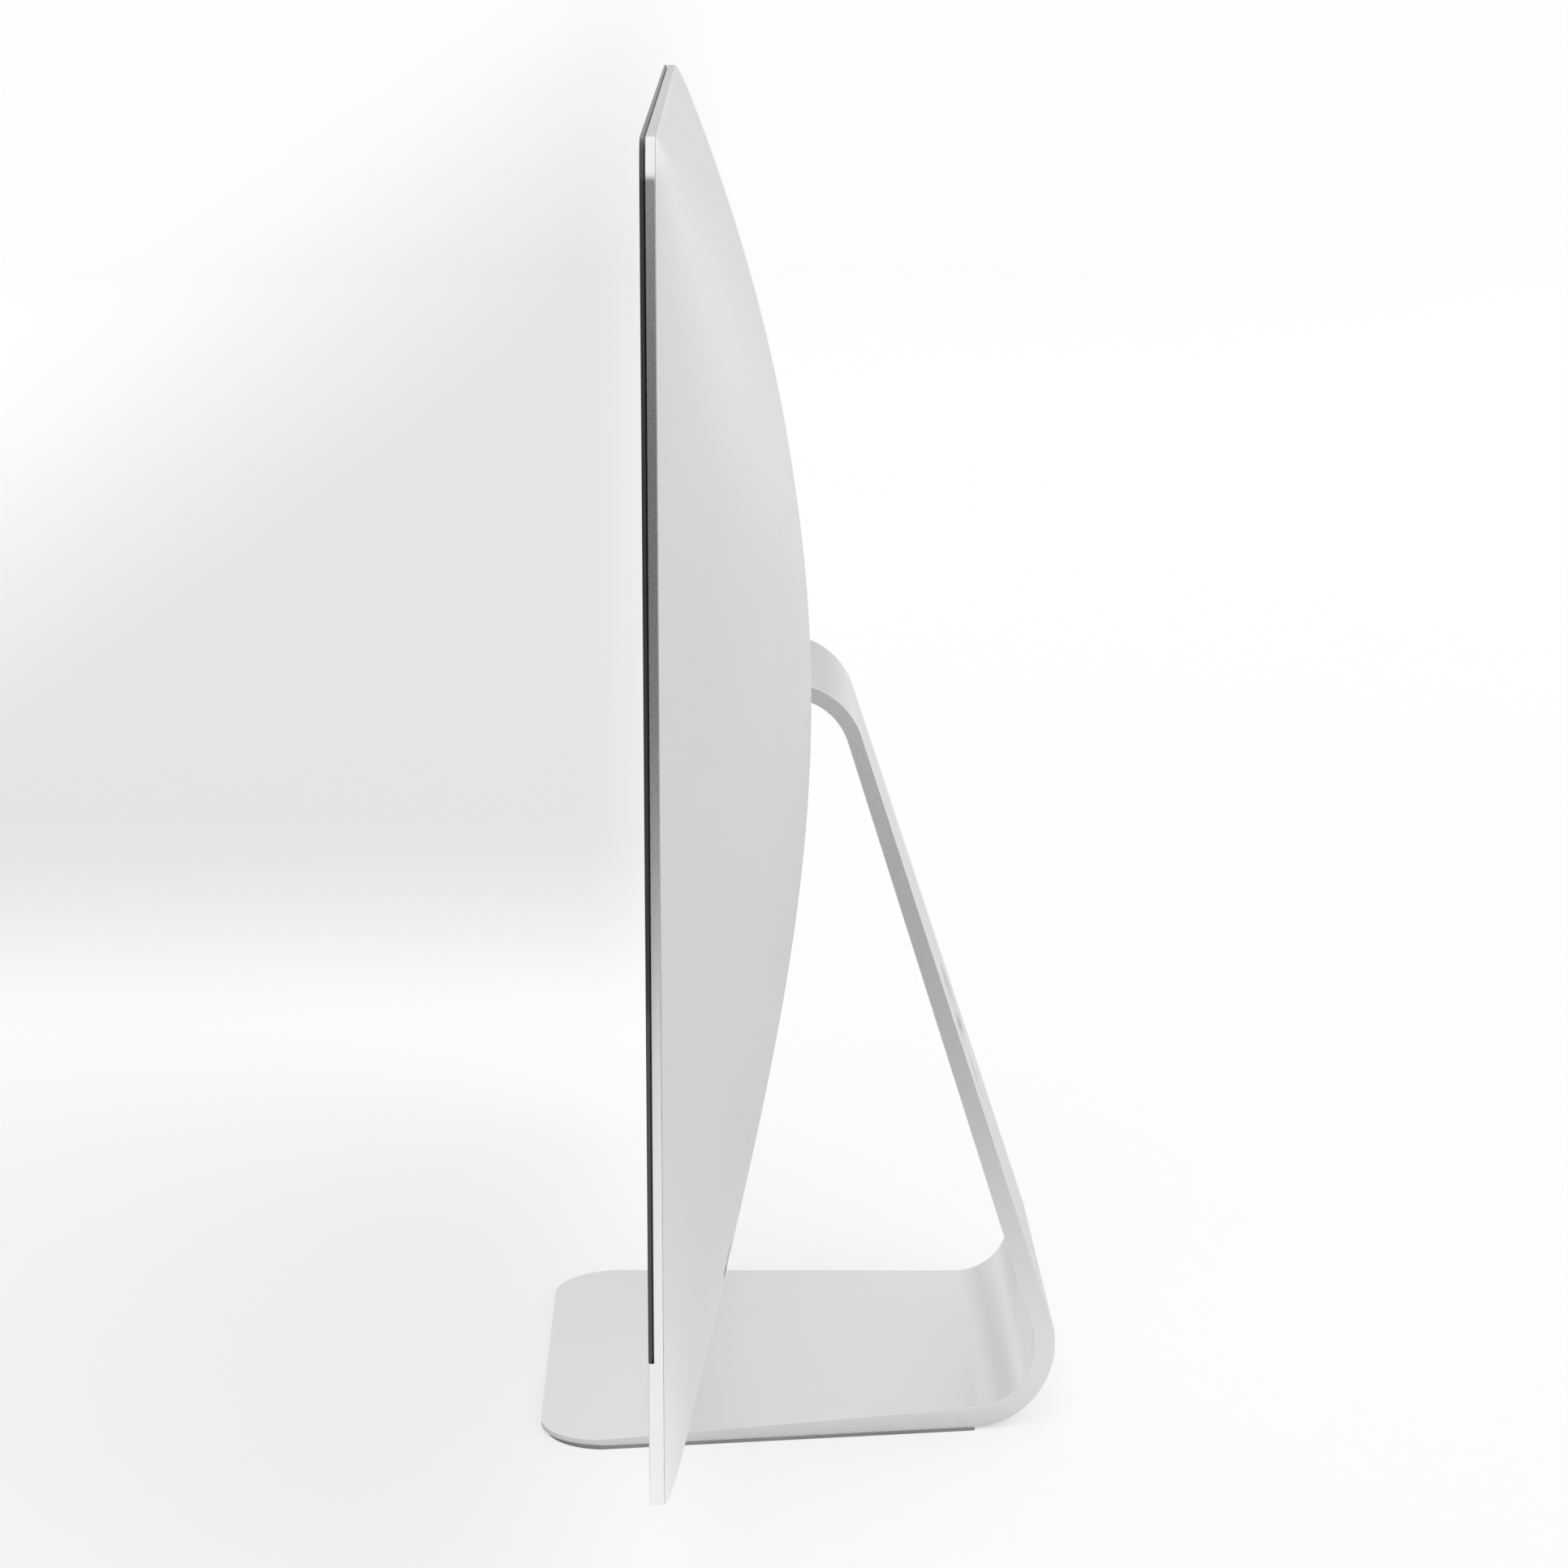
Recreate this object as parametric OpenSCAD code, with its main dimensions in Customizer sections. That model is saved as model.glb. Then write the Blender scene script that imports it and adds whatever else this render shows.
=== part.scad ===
// All-in-one desktop computer: a slim display head that tilts on a stand bent from one plate.
// Millimetres. The glass faces -Y, +Z is up, and the origin lies on the desk under the middle.

/* [Display head] */
// Width of the head
head_w = 650; // [560:1:800]
// Height of the head's top edge above the desk
total_h = 516; // [480:1:640]
// Free height under the head
head_lift = 67; // [50:1:90]
// Height of the metal chin under the glass
chin_h = 53.5; // [44:0.5:62]
// Thickness of the head along its edges
edge_t = 5; // [4.2:0.1:8]
// How far the domed back stands out behind the edges
bulge = 54.6; // [50:0.2:70]
// Radius of the head's corners, seen from the front
corner_r = 13; // [5:0.5:20]
// Thickness of the domed skin
skin_t = 1.6; // [1.2:0.1:2]
// Width of the rim wall round the cavity
rim_t = 2; // [1.5:0.1:3]
// Roundness of the dome from bottom to top, smaller is fuller
dome_p = 0.75; // [0.55:0.01:1]

/* [Glass and panel] */
// Thickness of the cover glass
glass_t = 1.4; // [1:0.1:2.2]
// Thickness of the adhesive frame behind the glass
tape_t = 0.5; // [0.3:0.1:0.6]
// Width of the adhesive frame
tape_w = 7; // [4:0.5:9]
// Width of the black border at the glass's sides
border_w = 26; // [24:0.5:32]
// Width of the black border at the glass's top and bottom
border_h = 26.75; // [24:0.25:34]
// Thickness of the panel behind the glass
lcd_t = 2; // [1.5:0.1:3]
// Thickness of the backlight tray
tray_t = 4.4; // [3:0.1:5]

/* [Stand] */
// Depth of the foot from its front edge to the back of the bend
foot_d = 203; // [180:1:240]
// Width of the foot's front edge
foot_w = 210; // [180:1:260]
// Radius of the foot's front corners
foot_r = 26; // [10:1:40]
// Thickness of the foot at its front edge
foot_t = 2; // [1.6:0.1:5]
// Thickness of the plate at the bend
bend_t = 8; // [6:0.1:10]
// Outer radius of the bend
bend_r = 32; // [26:0.5:40]
// How far the neck leans forward, in degrees
lean = 18; // [14:0.5:20]
// Thickness of the neck where it enters the head
neck_t = 5.8; // [4.5:0.1:7]
// How fast the plate narrows from front to back, per side
taper_y = 0.118; // [0.05:0.005:0.15]
// How fast the plate narrows from bottom to top, per side
taper_z = 0.122; // [0.05:0.005:0.15]
// Diameter of the cable hole
cable_hole = 58; // [40:1:64]
// Height of the cable hole's middle above the desk
cable_hole_z = 139.5; // [110:0.5:150]
// Thickness of the pad under the foot
pad_t = 0.8; // [0.6:0.1:1.5]
// How far the pad stays inside the foot's edge
pad_inset = 2.2; // [1:0.1:5]

/* [Tilt hinge] */
// Height of the tilt axis above the desk
hinge_z = 263.5; // [240:0.5:300]
// How far the tilt axis lies inside the dome's back
hinge_cover = 9.01476; // [8.8:0.00001:11.8]
// Outer radius of the curl at the neck's top
curl_r = 31; // [28:0.5:34]
// Diameter of the hinge shaft
shaft_d = 7; // [5:0.1:7.4]
// Gap between the curl and its slot
slot_gap = 0.8; // [0.5:0.1:1.5]
// Running gap between the shaft and its bushes, on the radius
run_gap = 0.05; // [0.02:0.01:0.1]

/* [Memory door] */
// Width of the memory door
door_w = 104; // [100:1:130]
// Height of the memory door
door_h = 50; // [46:1:54]
// Gap all round the memory door
door_gap = 0.5; // [0.4:0.05:0.8]

/* [Fan] */
// Diameter of the fan's impeller
fan_d = 84; // [70:1:90]
// Number of fan blades
fan_blades = 17; // [9:1:23]
// Thickness of the fan's case
fan_t = 15; // [14:0.5:17]

/* [Buttons and sockets] */
// Diameter of the power button
button_d = 13; // [10:0.5:16]
// Gap round each button, on the radius
button_gap = 0.35; // [0.3:0.05:0.5]
// Bore of the headphone socket
jack_d = 3.5; // [3.5:0.1:3.6]
// Distance between neighbouring wide sockets
socket_pitch = 17; // [16:0.5:20]

/* [Hidden] */
$fn = 48;

aluminium = [0.84, 0.85, 0.86];
dark_steel = [0.45, 0.46, 0.48];
bright = [0.78, 0.79, 0.80];
black = [0.06, 0.06, 0.07];
board_green = [0.05, 0.16, 0.13];
copper = [0.72, 0.42, 0.25];

// Stand: the plate's centre line, seen from the side as [y, z].
bend_y = foot_d/2 - bend_r;
bend_z = pad_t + bend_r;
rear_y = bend_y + bend_r*cos(lean);
rear_z = bend_z + bend_r*sin(lean);
curl_z = hinge_z + curl_r*sin(lean);
hinge_y = rear_y - (curl_z - rear_z)*tan(lean) - curl_r*cos(lean);
curl_in = curl_r - neck_t;
curl_end = 8;
// Straight steps that make up the foot's bend and the hinge's curl.
bend_steps = 24;
curl_steps = 20;
taper_a = atan(taper_y);
taper_b = atan(taper_z*cos(taper_a));
function half_w(y, z) = foot_w/2 - taper_y*(y + foot_d/2) - taper_z*z;
neck_half = half_w(hinge_y, hinge_z + curl_in);

// Head: d counts backwards from the glass's front face, z is the height above the desk.
head_h = total_h - head_lift;
chin_z = head_lift + chin_h;
glass_h = total_h - chin_z;
glass_mid = (total_h + chin_z)/2;
// The dome's depth runs from 0 at the edges to 1 in the middle, and follows whichever edge is nearer.
side_n = 3.2;
merge = 1.1;
function unit(v) = max(0, min(1, v));
function softer(f, g) = f*g/max(0.0001, pow(pow(f, merge) + pow(g, merge) - pow(f*g, merge), 1/merge));
// Half the width of the head's outline at height z, drawn in by inset all round.
function half_at(z, inset) =
    let (r = corner_r - inset, from_end = min(z - head_lift - inset, total_h - inset - z))
    head_w/2 - inset - r + sqrt(max(0, r*r - pow(max(0, r - from_end), 2)));
function swell(x, z, inset) =
    softer(pow(unit(sin(180*unit((z - head_lift - inset)/(head_h - 2*inset)))), dome_p),
        unit(1 - pow(unit(abs(x)/half_at(z, inset)), side_n)));
function back_d(x, z) = edge_t + bulge*swell(x, z, 0);
hinge_in = back_d(0, hinge_z) - hinge_cover;
glass_y = hinge_y - hinge_in;
function inner_d(x, z) = edge_t + (bulge - skin_t)*swell(x, z, rim_t);
function slope_z(x, z) = atan((back_d(x, z + 1) - back_d(x, z - 1))/2);
// Depth at which a post of radius r stops just short of the skin.
post_gap = 0.75;
function seat_d(x, z, r) = min([for (i = [-r, r]) for (k = [-r, r]) inner_d(x + i, z + k)]) - post_gap;
flange_t = 1.5;
flange_d = glass_t + tape_t;
cavity_d = flange_d + flange_t;
fit_gap = 0.3;
lcd_w = head_w - 2*border_w + 10;
lcd_h = glass_h - 2*border_h + 10;
window_gap = 2;
tray_d = glass_t + lcd_t + tray_t;

// Places of the inner parts, each as [from, to] in x, d or z.
board_d = tray_d + 2.7;
board_t = 1.6;
board_back = board_d + board_t;
bracket_d = [26, 29];
arm_x = 40;
arm_w = 8;
ear_x = neck_half + 4;
ear_w = 8;
bush_t = 1.2;
ear_r = shaft_d/2 + run_gap + bush_t + 1.2;
door_z = hinge_z - curl_r - 8 - door_h/2;
inlet_z = cable_hole_z;
inlet_w = 24;
inlet_h = 18;
release_z = inlet_z + inlet_h/2 + 7;
release_w = 12;
release_h = 4;
socket_x = 96;
socket_z = 128;
button_x = -head_w/2 + 62;
button_z = head_lift + 31;
grille_z = hinge_z + curl_r + 11;
grille_h = 7;
drive_z = [hinge_z + 76, hinge_z + 178];
fan_x = -150;
fan_z = hinge_z + 20;
fan_depth = [17, 17 + fan_t];
outlet_low = 18;
duct_x = [fan_x + fan_d/2 + 10.3, neck_half + 2];
duct_d = [fan_depth[0], 52];
duct_z = [fan_z + outlet_low, fan_z + fan_d/2 + 2];
supply_x = [-268, -190];
supply_z = [110, 230];

// ---- shared shapes ----

// A box in head coordinates: x, depth behind the glass and height, each as [from, to].
module part_box(x, d, z) {
    translate([x[0], glass_y + d[0], z[0]])
        cube([x[1] - x[0], d[1] - d[0], z[1] - z[0]]);
}

// A round bar that runs backwards from depth d0 to d1.
module part_rod(x, z, r, d0, d1) {
    translate([x, glass_y + d0, z])
        rotate([-90, 0, 0])
            cylinder(r = r, h = d1 - d0);
}

// A round bar along X through the point [y, z], between x0 and x1.
module cross_rod(y, z, r, x0, x1) {
    translate([x0, y, z])
        rotate([0, 90, 0])
            cylinder(r = r, h = x1 - x0);
}

// A flat outline with round top corners and, where low_r is over 0, round bottom ones.
module head_outline(w, z0, z1, top_r, low_r) {
    translate([-w/2, z0 + low_r])
        square([w, z1 - z0 - top_r - low_r]);
    translate([-w/2 + top_r, z1 - top_r])
        square([w - 2*top_r, top_r]);
    for (s = [-1, 1])
        translate([s*(w/2 - top_r), z1 - top_r])
            circle(r = top_r);
    if (low_r > 0) {
        translate([-w/2 + low_r, z0])
            square([w - 2*low_r, low_r]);
        for (s = [-1, 1])
            translate([s*(w/2 - low_r), z0 + low_r])
                circle(r = low_r);
    }
}

// An outline drawn in x and z, stood up and extruded backwards from depth d0 to d1.
module stand_up(d0, d1) {
    translate([0, glass_y + d1, 0])
        rotate([90, 0, 0])
            linear_extrude(height = d1 - d0)
                children();
}

// Heights of the dome's rows: four steps round each corner and finer rows near the ends.
grid_x = 24;
grid_z = 12;
corner_steps = 4;
function rows(inset) =
    let (r = corner_r - inset, z0 = head_lift + inset, z1 = total_h - inset)
    concat([for (k = [0:corner_steps]) z0 + r*(1 - cos(90*k/corner_steps))],
        [for (j = [1:grid_z - 1]) z0 + r + (z1 - z0 - 2*r)*(1 - cos(180*j/grid_z))/2],
        [for (k = [corner_steps:-1:0]) z1 - r*(1 - cos(90*k/corner_steps))]);

// The domed skin: an outer and an inner sheet over the head's outline, joined by a flat rim.
module domed_skin() {
    nz = len(rows(0)) - 1;
    count = (grid_x + 1)*(nz + 1);
    function at(i, j) = j*(grid_x + 1) + i;
    function along(i) = sin(180*i/grid_x - 90);
    outer = [for (z = rows(0)) for (i = [0:grid_x]) let (x = half_at(z, 0)*along(i))
        [x, glass_y + back_d(x, z), z]];
    inner = [for (z = rows(rim_t)) for (i = [0:grid_x]) let (x = half_at(z, rim_t)*along(i))
        [x, glass_y + inner_d(x, z), z]];
    rim = concat([for (i = [0:grid_x - 1]) at(i, 0)], [for (j = [0:nz - 1]) at(grid_x, j)],
        [for (i = [grid_x:-1:1]) at(i, nz)], [for (j = [nz:-1:1]) at(0, j)]);
    cells = [for (j = [0:nz - 1]) for (i = [0:grid_x - 1]) [i, j]];
    back_a = [for (c = cells) [at(c[0], c[1]), at(c[0] + 1, c[1]), at(c[0] + 1, c[1] + 1)]];
    back_b = [for (c = cells) [at(c[0], c[1]), at(c[0] + 1, c[1] + 1), at(c[0], c[1] + 1)]];
    front = [for (t = concat(back_a, back_b)) [t[0] + count, t[2] + count, t[1] + count]];
    n = len(rim);
    base = [for (k = [0:n - 1]) [rim[k], rim[k] + count, rim[(k + 1) % n] + count, rim[(k + 1) % n]]];
    polyhedron(points = concat(outer, inner), faces = concat(back_a, back_b, front, base), convexity = 4);
}

// A patch of the skin between two offsets from its outer face, on its own small grid.
module skin_patch(x0, x1, z0, z1, out, inn) {
    nx = 10;
    nz = 6;
    count = (nx + 1)*(nz + 1);
    function px(i) = x0 + (x1 - x0)*i/nx;
    function pz(j) = z0 + (z1 - z0)*j/nz;
    function at(i, j) = j*(nx + 1) + i;
    sheet = [for (j = [0:nz]) for (i = [0:nx]) [px(i), glass_y + back_d(px(i), pz(j)), pz(j)]];
    rim = concat([for (i = [0:nx - 1]) at(i, 0)], [for (j = [0:nz - 1]) at(nx, j)],
        [for (i = [nx:-1:1]) at(i, nz)], [for (j = [nz:-1:1]) at(0, j)]);
    cells = [for (j = [0:nz - 1]) for (i = [0:nx - 1]) [i, j]];
    back_a = [for (c = cells) [at(c[0], c[1]), at(c[0] + 1, c[1]), at(c[0] + 1, c[1] + 1)]];
    back_b = [for (c = cells) [at(c[0], c[1]), at(c[0] + 1, c[1] + 1), at(c[0], c[1] + 1)]];
    front = [for (t = concat(back_a, back_b)) [t[0] + count, t[2] + count, t[1] + count]];
    n = len(rim);
    walls = [for (k = [0:n - 1]) [rim[k], rim[k] + count, rim[(k + 1) % n] + count, rim[(k + 1) % n]]];
    polyhedron(points = concat([for (p = sheet) p - [0, out, 0]], [for (p = sheet) p - [0, inn, 0]]),
        faces = concat(back_a, back_b, front, walls), convexity = 4);
}

// ---- stand ----

// Points along an arc around centre c, from angle a0 to a1, in n steps.
function arc(c, r, a0, a1, n) = [for (i = [0:n]) let (a = a0 + (a1 - a0)*i/n) c + r*[cos(a), sin(a)]];

module plate_profile() {
    bend = [bend_y, bend_z];
    hinge = [hinge_y, hinge_z];
    polygon(concat(
        [[-foot_d/2, pad_t]],
        arc(bend, bend_r, -90, lean, bend_steps),
        arc(hinge, curl_r, lean, 90 + curl_end, curl_steps),
        arc(hinge, curl_in, 90 + curl_end, lean, curl_steps),
        arc(bend, bend_r - bend_t, lean, -90, bend_steps),
        [[-foot_d/2, pad_t + foot_t]]
    ));
}

// Everything outside the plate's tapering side on one side of the stand.
module taper_cut(side) {
    reach = 2*total_h;
    mirror([side < 0 ? 1 : 0, 0, 0])
        translate([foot_w/2, -foot_d/2, 0])
            rotate([0, -taper_b, taper_a])
                translate([0, -reach/2, -reach/2])
                    cube([foot_w, reach, reach]);
}

// What the round front corner takes off the foot.
module corner_cut(side, inset) {
    r = foot_r - inset;
    cx = foot_w/2 - inset - taper_y*r - r*sqrt(1 + taper_y*taper_y);
    mirror([side < 0 ? 1 : 0, 0, 0])
        translate([cx, -foot_d/2 + inset + r, -1])
            linear_extrude(height = bend_t + 4)
                difference() {
                    polygon([
                        [0, -r], [0, -r - 5], [r + foot_r, -r - 5],
                        [r + foot_r, r*sin(taper_a)], [r*cos(taper_a), r*sin(taper_a)]
                    ]);
                    circle(r = r, $fn = 96);
                }
}

module cable_bore() {
    hole_y = rear_y - (cable_hole_z - rear_z)*tan(lean);
    translate([0, hole_y, cable_hole_z])
        rotate([-90 + lean, 0, 0])
            cylinder(d = cable_hole, h = 6*bend_t, center = true, $fn = 96);
}

screw_x = [-arm_x - arm_w/2, arm_x + arm_w/2];
screw_a = -2;
// Drawn along a line that runs outwards from the tilt axis through the neck's curl.
module at_screws() {
    for (x = screw_x)
        translate([x, hinge_y, hinge_z])
            rotate([-screw_a, 0, 0])
                children();
}

module stand() {
    color(aluminium)
        difference() {
            rotate([90, 0, 90])
                linear_extrude(height = 2*foot_w, center = true)
                    plate_profile();
            for (side = [-1, 1]) {
                taper_cut(side);
                corner_cut(side, 0);
            }
            cable_bore();
            at_screws()
                cylinder(r = 1.7, h = 2*curl_r);
        }
}

module foot_pad() {
    color(black)
        difference() {
            translate([-foot_w/2, -foot_d/2 + pad_inset, 0])
                cube([foot_w, bend_y + foot_d/2 - pad_inset, pad_t]);
            for (side = [-1, 1]) {
                translate([-side*pad_inset, 0, 0])
                    taper_cut(side);
                corner_cut(side, pad_inset);
            }
        }
}

// ---- tilt hinge ----

hub_r = shaft_d/2 + 2.8;
module hinge_arms() {
    color(dark_steel)
        for (x = [-arm_x - arm_w, arm_x])
            difference() {
                translate([x, hinge_y, hinge_z])
                    rotate([90, 0, 90])
                        linear_extrude(height = arm_w)
                            union() {
                                circle(r = hub_r);
                                intersection() {
                                    circle(r = curl_in - 0.15, $fn = 96);
                                    translate([-hub_r, 0])
                                        square([hub_r + 3, curl_r]);
                                }
                            }
                cross_rod(hinge_y, hinge_z, shaft_d/2, x - 1, x + arm_w + 1);
                at_screws()
                    translate([0, 0, curl_in - 9])
                        cylinder(r = 1.7, h = 20);
            }
}

shaft_half = ear_x + ear_w + 10;
module hinge_shaft() {
    color(bright)
        union() {
            cross_rod(hinge_y, hinge_z, shaft_d/2, -shaft_half, shaft_half);
            for (s = [-1, 1])
                cross_rod(hinge_y, hinge_z, ear_r - 0.4, s*shaft_half - 1, s*shaft_half + 1);
        }
}

module hinge_screws() {
    color(bright)
        at_screws()
            union() {
                translate([0, 0, curl_in - 8])
                    cylinder(r = 1.6, h = neck_t + 8);
                difference() {
                    translate([0, 0, curl_r + 0.1])
                        cylinder(r = 3, h = 1.7);
                    translate([0, 0, curl_r + 0.8])
                        cylinder(r = 1.2, h = 2, $fn = 6);
                }
            }
}

// Each spring is a close stack of wire turns.
module torsion_springs() {
    wire = 1.6;
    turns = floor((ear_x - arm_x - arm_w - 1)/wire);
    color(dark_steel)
        for (s = [-1, 1])
            translate([s*(arm_x + arm_w + 0.2), hinge_y, hinge_z])
                rotate([0, s*90, 0])
                    rotate_extrude($fn = 48)
                        for (i = [0:turns - 1])
                            translate([shaft_d/2 + 0.3 + wire/2, wire*(i + 0.5)])
                                square([wire, wire + (i < turns - 1 ? 0.02 : 0)], center = true);
}

module friction_clutch() {
    color(dark_steel)
        for (s = [-1, 1])
            translate([s*(ear_x + ear_w + 0.3), hinge_y, hinge_z])
                rotate([0, s*90, 0])
                    difference() {
                        union() {
                            cylinder(r = shaft_d/2 + 1.2, h = 8);
                            for (i = [0:2])
                                translate([0, 0, 1 + 2.4*i])
                                    cylinder(r = ear_r - 1.1, h = 1.2);
                        }
                        translate([0, 0, -1])
                            cylinder(d = shaft_d, h = 12);
                    }
}

bracket_half = ear_x + ear_w + 14;
bracket_z = [hinge_z - 30, hinge_z + 36];
bracket_post_x = bracket_half - 7;
bracket_post_z = [bracket_z[0] + 8, bracket_z[1] - 8];
module hinge_bracket() {
    color(dark_steel)
        difference() {
            union() {
                part_box([-bracket_half, bracket_half], bracket_d, bracket_z);
                for (x = [-ear_x - ear_w, ear_x]) {
                    part_box([x, x + ear_w], [bracket_d[0], hinge_in], [hinge_z - ear_r, hinge_z + ear_r]);
                    cross_rod(hinge_y, hinge_z, ear_r, x, x + ear_w);
                    part_box([x, x + ear_w], [bracket_d[0], bracket_d[1] + 8], [hinge_z - 20, hinge_z + 20]);
                }
            }
            for (x = [-ear_x - ear_w, ear_x])
                cross_rod(hinge_y, hinge_z, shaft_d/2 + run_gap + bush_t, x - 1, x + ear_w + 1);
            for (x = [-34, 34])
                part_rod(x, hinge_z, 11, bracket_d[0] - 1, bracket_d[1] + 1);
        }
}

module hinge_bushes() {
    color("darkgoldenrod")
        for (x = [-ear_x - ear_w, ear_x])
            difference() {
                cross_rod(hinge_y, hinge_z, shaft_d/2 + run_gap + bush_t, x, x + ear_w);
                cross_rod(hinge_y, hinge_z, shaft_d/2 + run_gap, x - 1, x + ear_w + 1);
            }
}

module bracket_posts() {
    color(bright)
        for (x = [-bracket_post_x, bracket_post_x])
            for (z = bracket_post_z)
                part_rod(x, z, 5, bracket_d[1], seat_d(x, z, 5));
}

// ---- head: housing, glass and panel ----

// The slot that the neck's curl slides through as the head tilts.
module neck_slot() {
    w = neck_half + slot_gap;
    intersection() {
        difference() {
            cross_rod(hinge_y, hinge_z, curl_r + slot_gap, -w, w);
            cross_rod(hinge_y, hinge_z, curl_in - slot_gap, -w - 1, w + 1);
        }
        translate([-w - 1, hinge_y + 3, hinge_z + 5])
            cube([2*w + 2, curl_r + 10, curl_r + 10]);
    }
}

vent_pitch = 24;
vent_w = 17;
module bottom_vents() {
    count = floor((head_w/2 - corner_r - 20)/vent_pitch);
    for (i = [-count:count])
        part_box([i*vent_pitch - vent_w/2, i*vent_pitch + vent_w/2], [chin_t + 0.4, chin_t + 1.6],
            [head_lift - 1, head_lift + rim_t + 1]);
}

// Sockets along the lower back: a name, how far along the row, and the mouth's size.
usb_count = 4;
video_count = 2;
usb_w = 13.2;
usb_h = 5.8;
video_w = 9.2;
video_h = 3.4;
net_w = 13;
net_h = 10;
card_w = 26;
card_h = 3;
jack_x = socket_x + 4;
card_x = jack_x + 24;
usb_x = card_x + card_w/2 + socket_pitch*0.7;
video_x = usb_x + socket_pitch*usb_count - 3;
net_x = video_x + 13.5*video_count + 3;
function usb_at(i) = usb_x + socket_pitch*i;
function video_at(i) = video_x + 13.5*i;
// Depth at which a socket's mouth sits: just under the skin at the mouth's lower edge.
function mouth_d(x, h) = inner_d(x + 6, socket_z - h/2) - 0.4;

module mouth(x, z, w, h) {
    part_box([x - w/2, x + w/2], [mouth_d(x, h) - 3, back_d(0, hinge_z)], [z - h/2, z + h/2]);
}

module socket_mouths() {
    for (i = [0:usb_count - 1])
        mouth(usb_at(i), socket_z, usb_w + 0.8, usb_h + 0.8);
    for (i = [0:video_count - 1])
        mouth(video_at(i), socket_z, video_w + 0.8, video_h + 0.8);
    mouth(net_x, socket_z, net_w + 0.6, net_h + 0.6);
    mouth(card_x, socket_z, card_w + 0.8, card_h + 0.8);
    part_rod(jack_x, socket_z, jack_d/2 + 1.5, 20, back_d(0, hinge_z));
}

// Places the children on the power button's axis, which stands square on the sloping skin.
button_tilt = slope_z(button_x, button_z);
module at_button() {
    translate([button_x, glass_y + back_d(button_x, button_z), button_z])
        rotate([-90 - button_tilt, 0, 0])
            children();
}

module rear_shell() {
    color(aluminium)
        difference() {
            domed_skin();
            neck_slot();
            door_hole(door_gap);
            socket_mouths();
            part_box([-inlet_w/2 - 0.5, inlet_w/2 + 0.5], [20, back_d(0, hinge_z)],
                [inlet_z - inlet_h/2 - 0.5, inlet_z + inlet_h/2 + 0.5]);
            part_box([-release_w/2 - button_gap, release_w/2 + button_gap], [20, back_d(0, hinge_z)],
                [release_z - release_h/2 - button_gap, release_z + release_h/2 + button_gap]);
            at_button()
                translate([0, 0, -8])
                    cylinder(r = button_d/2 + button_gap, h = 16);
            part_box([-neck_half + 6, neck_half - 6], [40, back_d(0, hinge_z) + 2],
                [grille_z - grille_h/2, grille_z + grille_h/2]);
        }
}

// The flat front of the metal body: the chin, the seat of the glass and the edges.
chin_t = 1.6;
module edge_band() {
    color(aluminium)
        difference() {
            stand_up(0, edge_t)
                head_outline(head_w, head_lift, total_h, corner_r, corner_r);
            // room behind the seat and the chin
            stand_up(cavity_d, edge_t + 1)
                head_outline(head_w - 2*rim_t, head_lift + rim_t, total_h - rim_t, corner_r - rim_t,
                    corner_r - rim_t);
            part_box([-head_w/2 + corner_r, head_w/2 - corner_r], [chin_t, cavity_d + 1],
                [head_lift + rim_t, chin_z - 8]);
            // seat of the glass
            part_box([-head_w, head_w], [-2, flange_d], [chin_z, total_h + 1]);
            // window for the panel
            part_box([-lcd_w/2 - window_gap, lcd_w/2 + window_gap], [0, edge_t + 1],
                [glass_mid - lcd_h/2 - window_gap, glass_mid + lcd_h/2 + window_gap]);
            camera_notch();
            bottom_vents();
        }
}

camera_w = 22;
camera_h = 9;
camera_z = total_h - 11.5;
module camera_notch() {
    part_box([-camera_w/2 - 1, camera_w/2 + 1], [0, cavity_d + 1],
        [glass_mid + lcd_h/2 - 2, camera_z + camera_h/2 + 0.5]);
}

module cover_glass() {
    color([0.03, 0.03, 0.035])
        stand_up(0, glass_t)
            head_outline(head_w, chin_z + fit_gap, total_h, corner_r, 0);
}

module display_tape() {
    inset = 1.5;
    color(black)
        stand_up(glass_t, flange_d)
            difference() {
                head_outline(head_w - 2*inset, chin_z + inset, total_h - inset, corner_r - inset, 0);
                translate([-head_w/2 + inset + tape_w, chin_z + inset + tape_w])
                    square([head_w - 2*inset - 2*tape_w, glass_h - 2*inset - 2*tape_w]);
            }
}

module lcd_panel() {
    color([0.08, 0.08, 0.1])
        part_box([-lcd_w/2, lcd_w/2], [glass_t, glass_t + lcd_t], [glass_mid - lcd_h/2, glass_mid + lcd_h/2]);
}

module backlight_tray() {
    color(bright)
        part_box([-lcd_w/2 + 1, lcd_w/2 - 1], [glass_t + lcd_t, tray_d],
            [glass_mid - lcd_h/2 + 1, glass_mid + lcd_h/2 - 1]);
}

module tray_ribs() {
    color(dark_steel)
        for (z = [glass_mid - lcd_h/3, glass_mid, glass_mid + lcd_h/3])
            part_box([-lcd_w/2 + 30, lcd_w/2 - 30], [tray_d, tray_d + 1.2], [z - 5, z + 5]);
}

module camera_module() {
    color(black)
        union() {
            part_box([-camera_w/2, camera_w/2], [glass_t + 1.4, glass_t + 4],
                [camera_z - camera_h/2, camera_z + camera_h/2]);
            part_rod(0, camera_z, 2.8, glass_t, glass_t + 1.4);
        }
}

module microphones() {
    color(bright)
        for (x = [-camera_w/2 - 8, camera_w/2 + 3])
            part_box([x, x + 5], [cavity_d, cavity_d + 1.2], [camera_z - 2, camera_z + 2]);
}

// ---- boards and cooling ----

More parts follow.
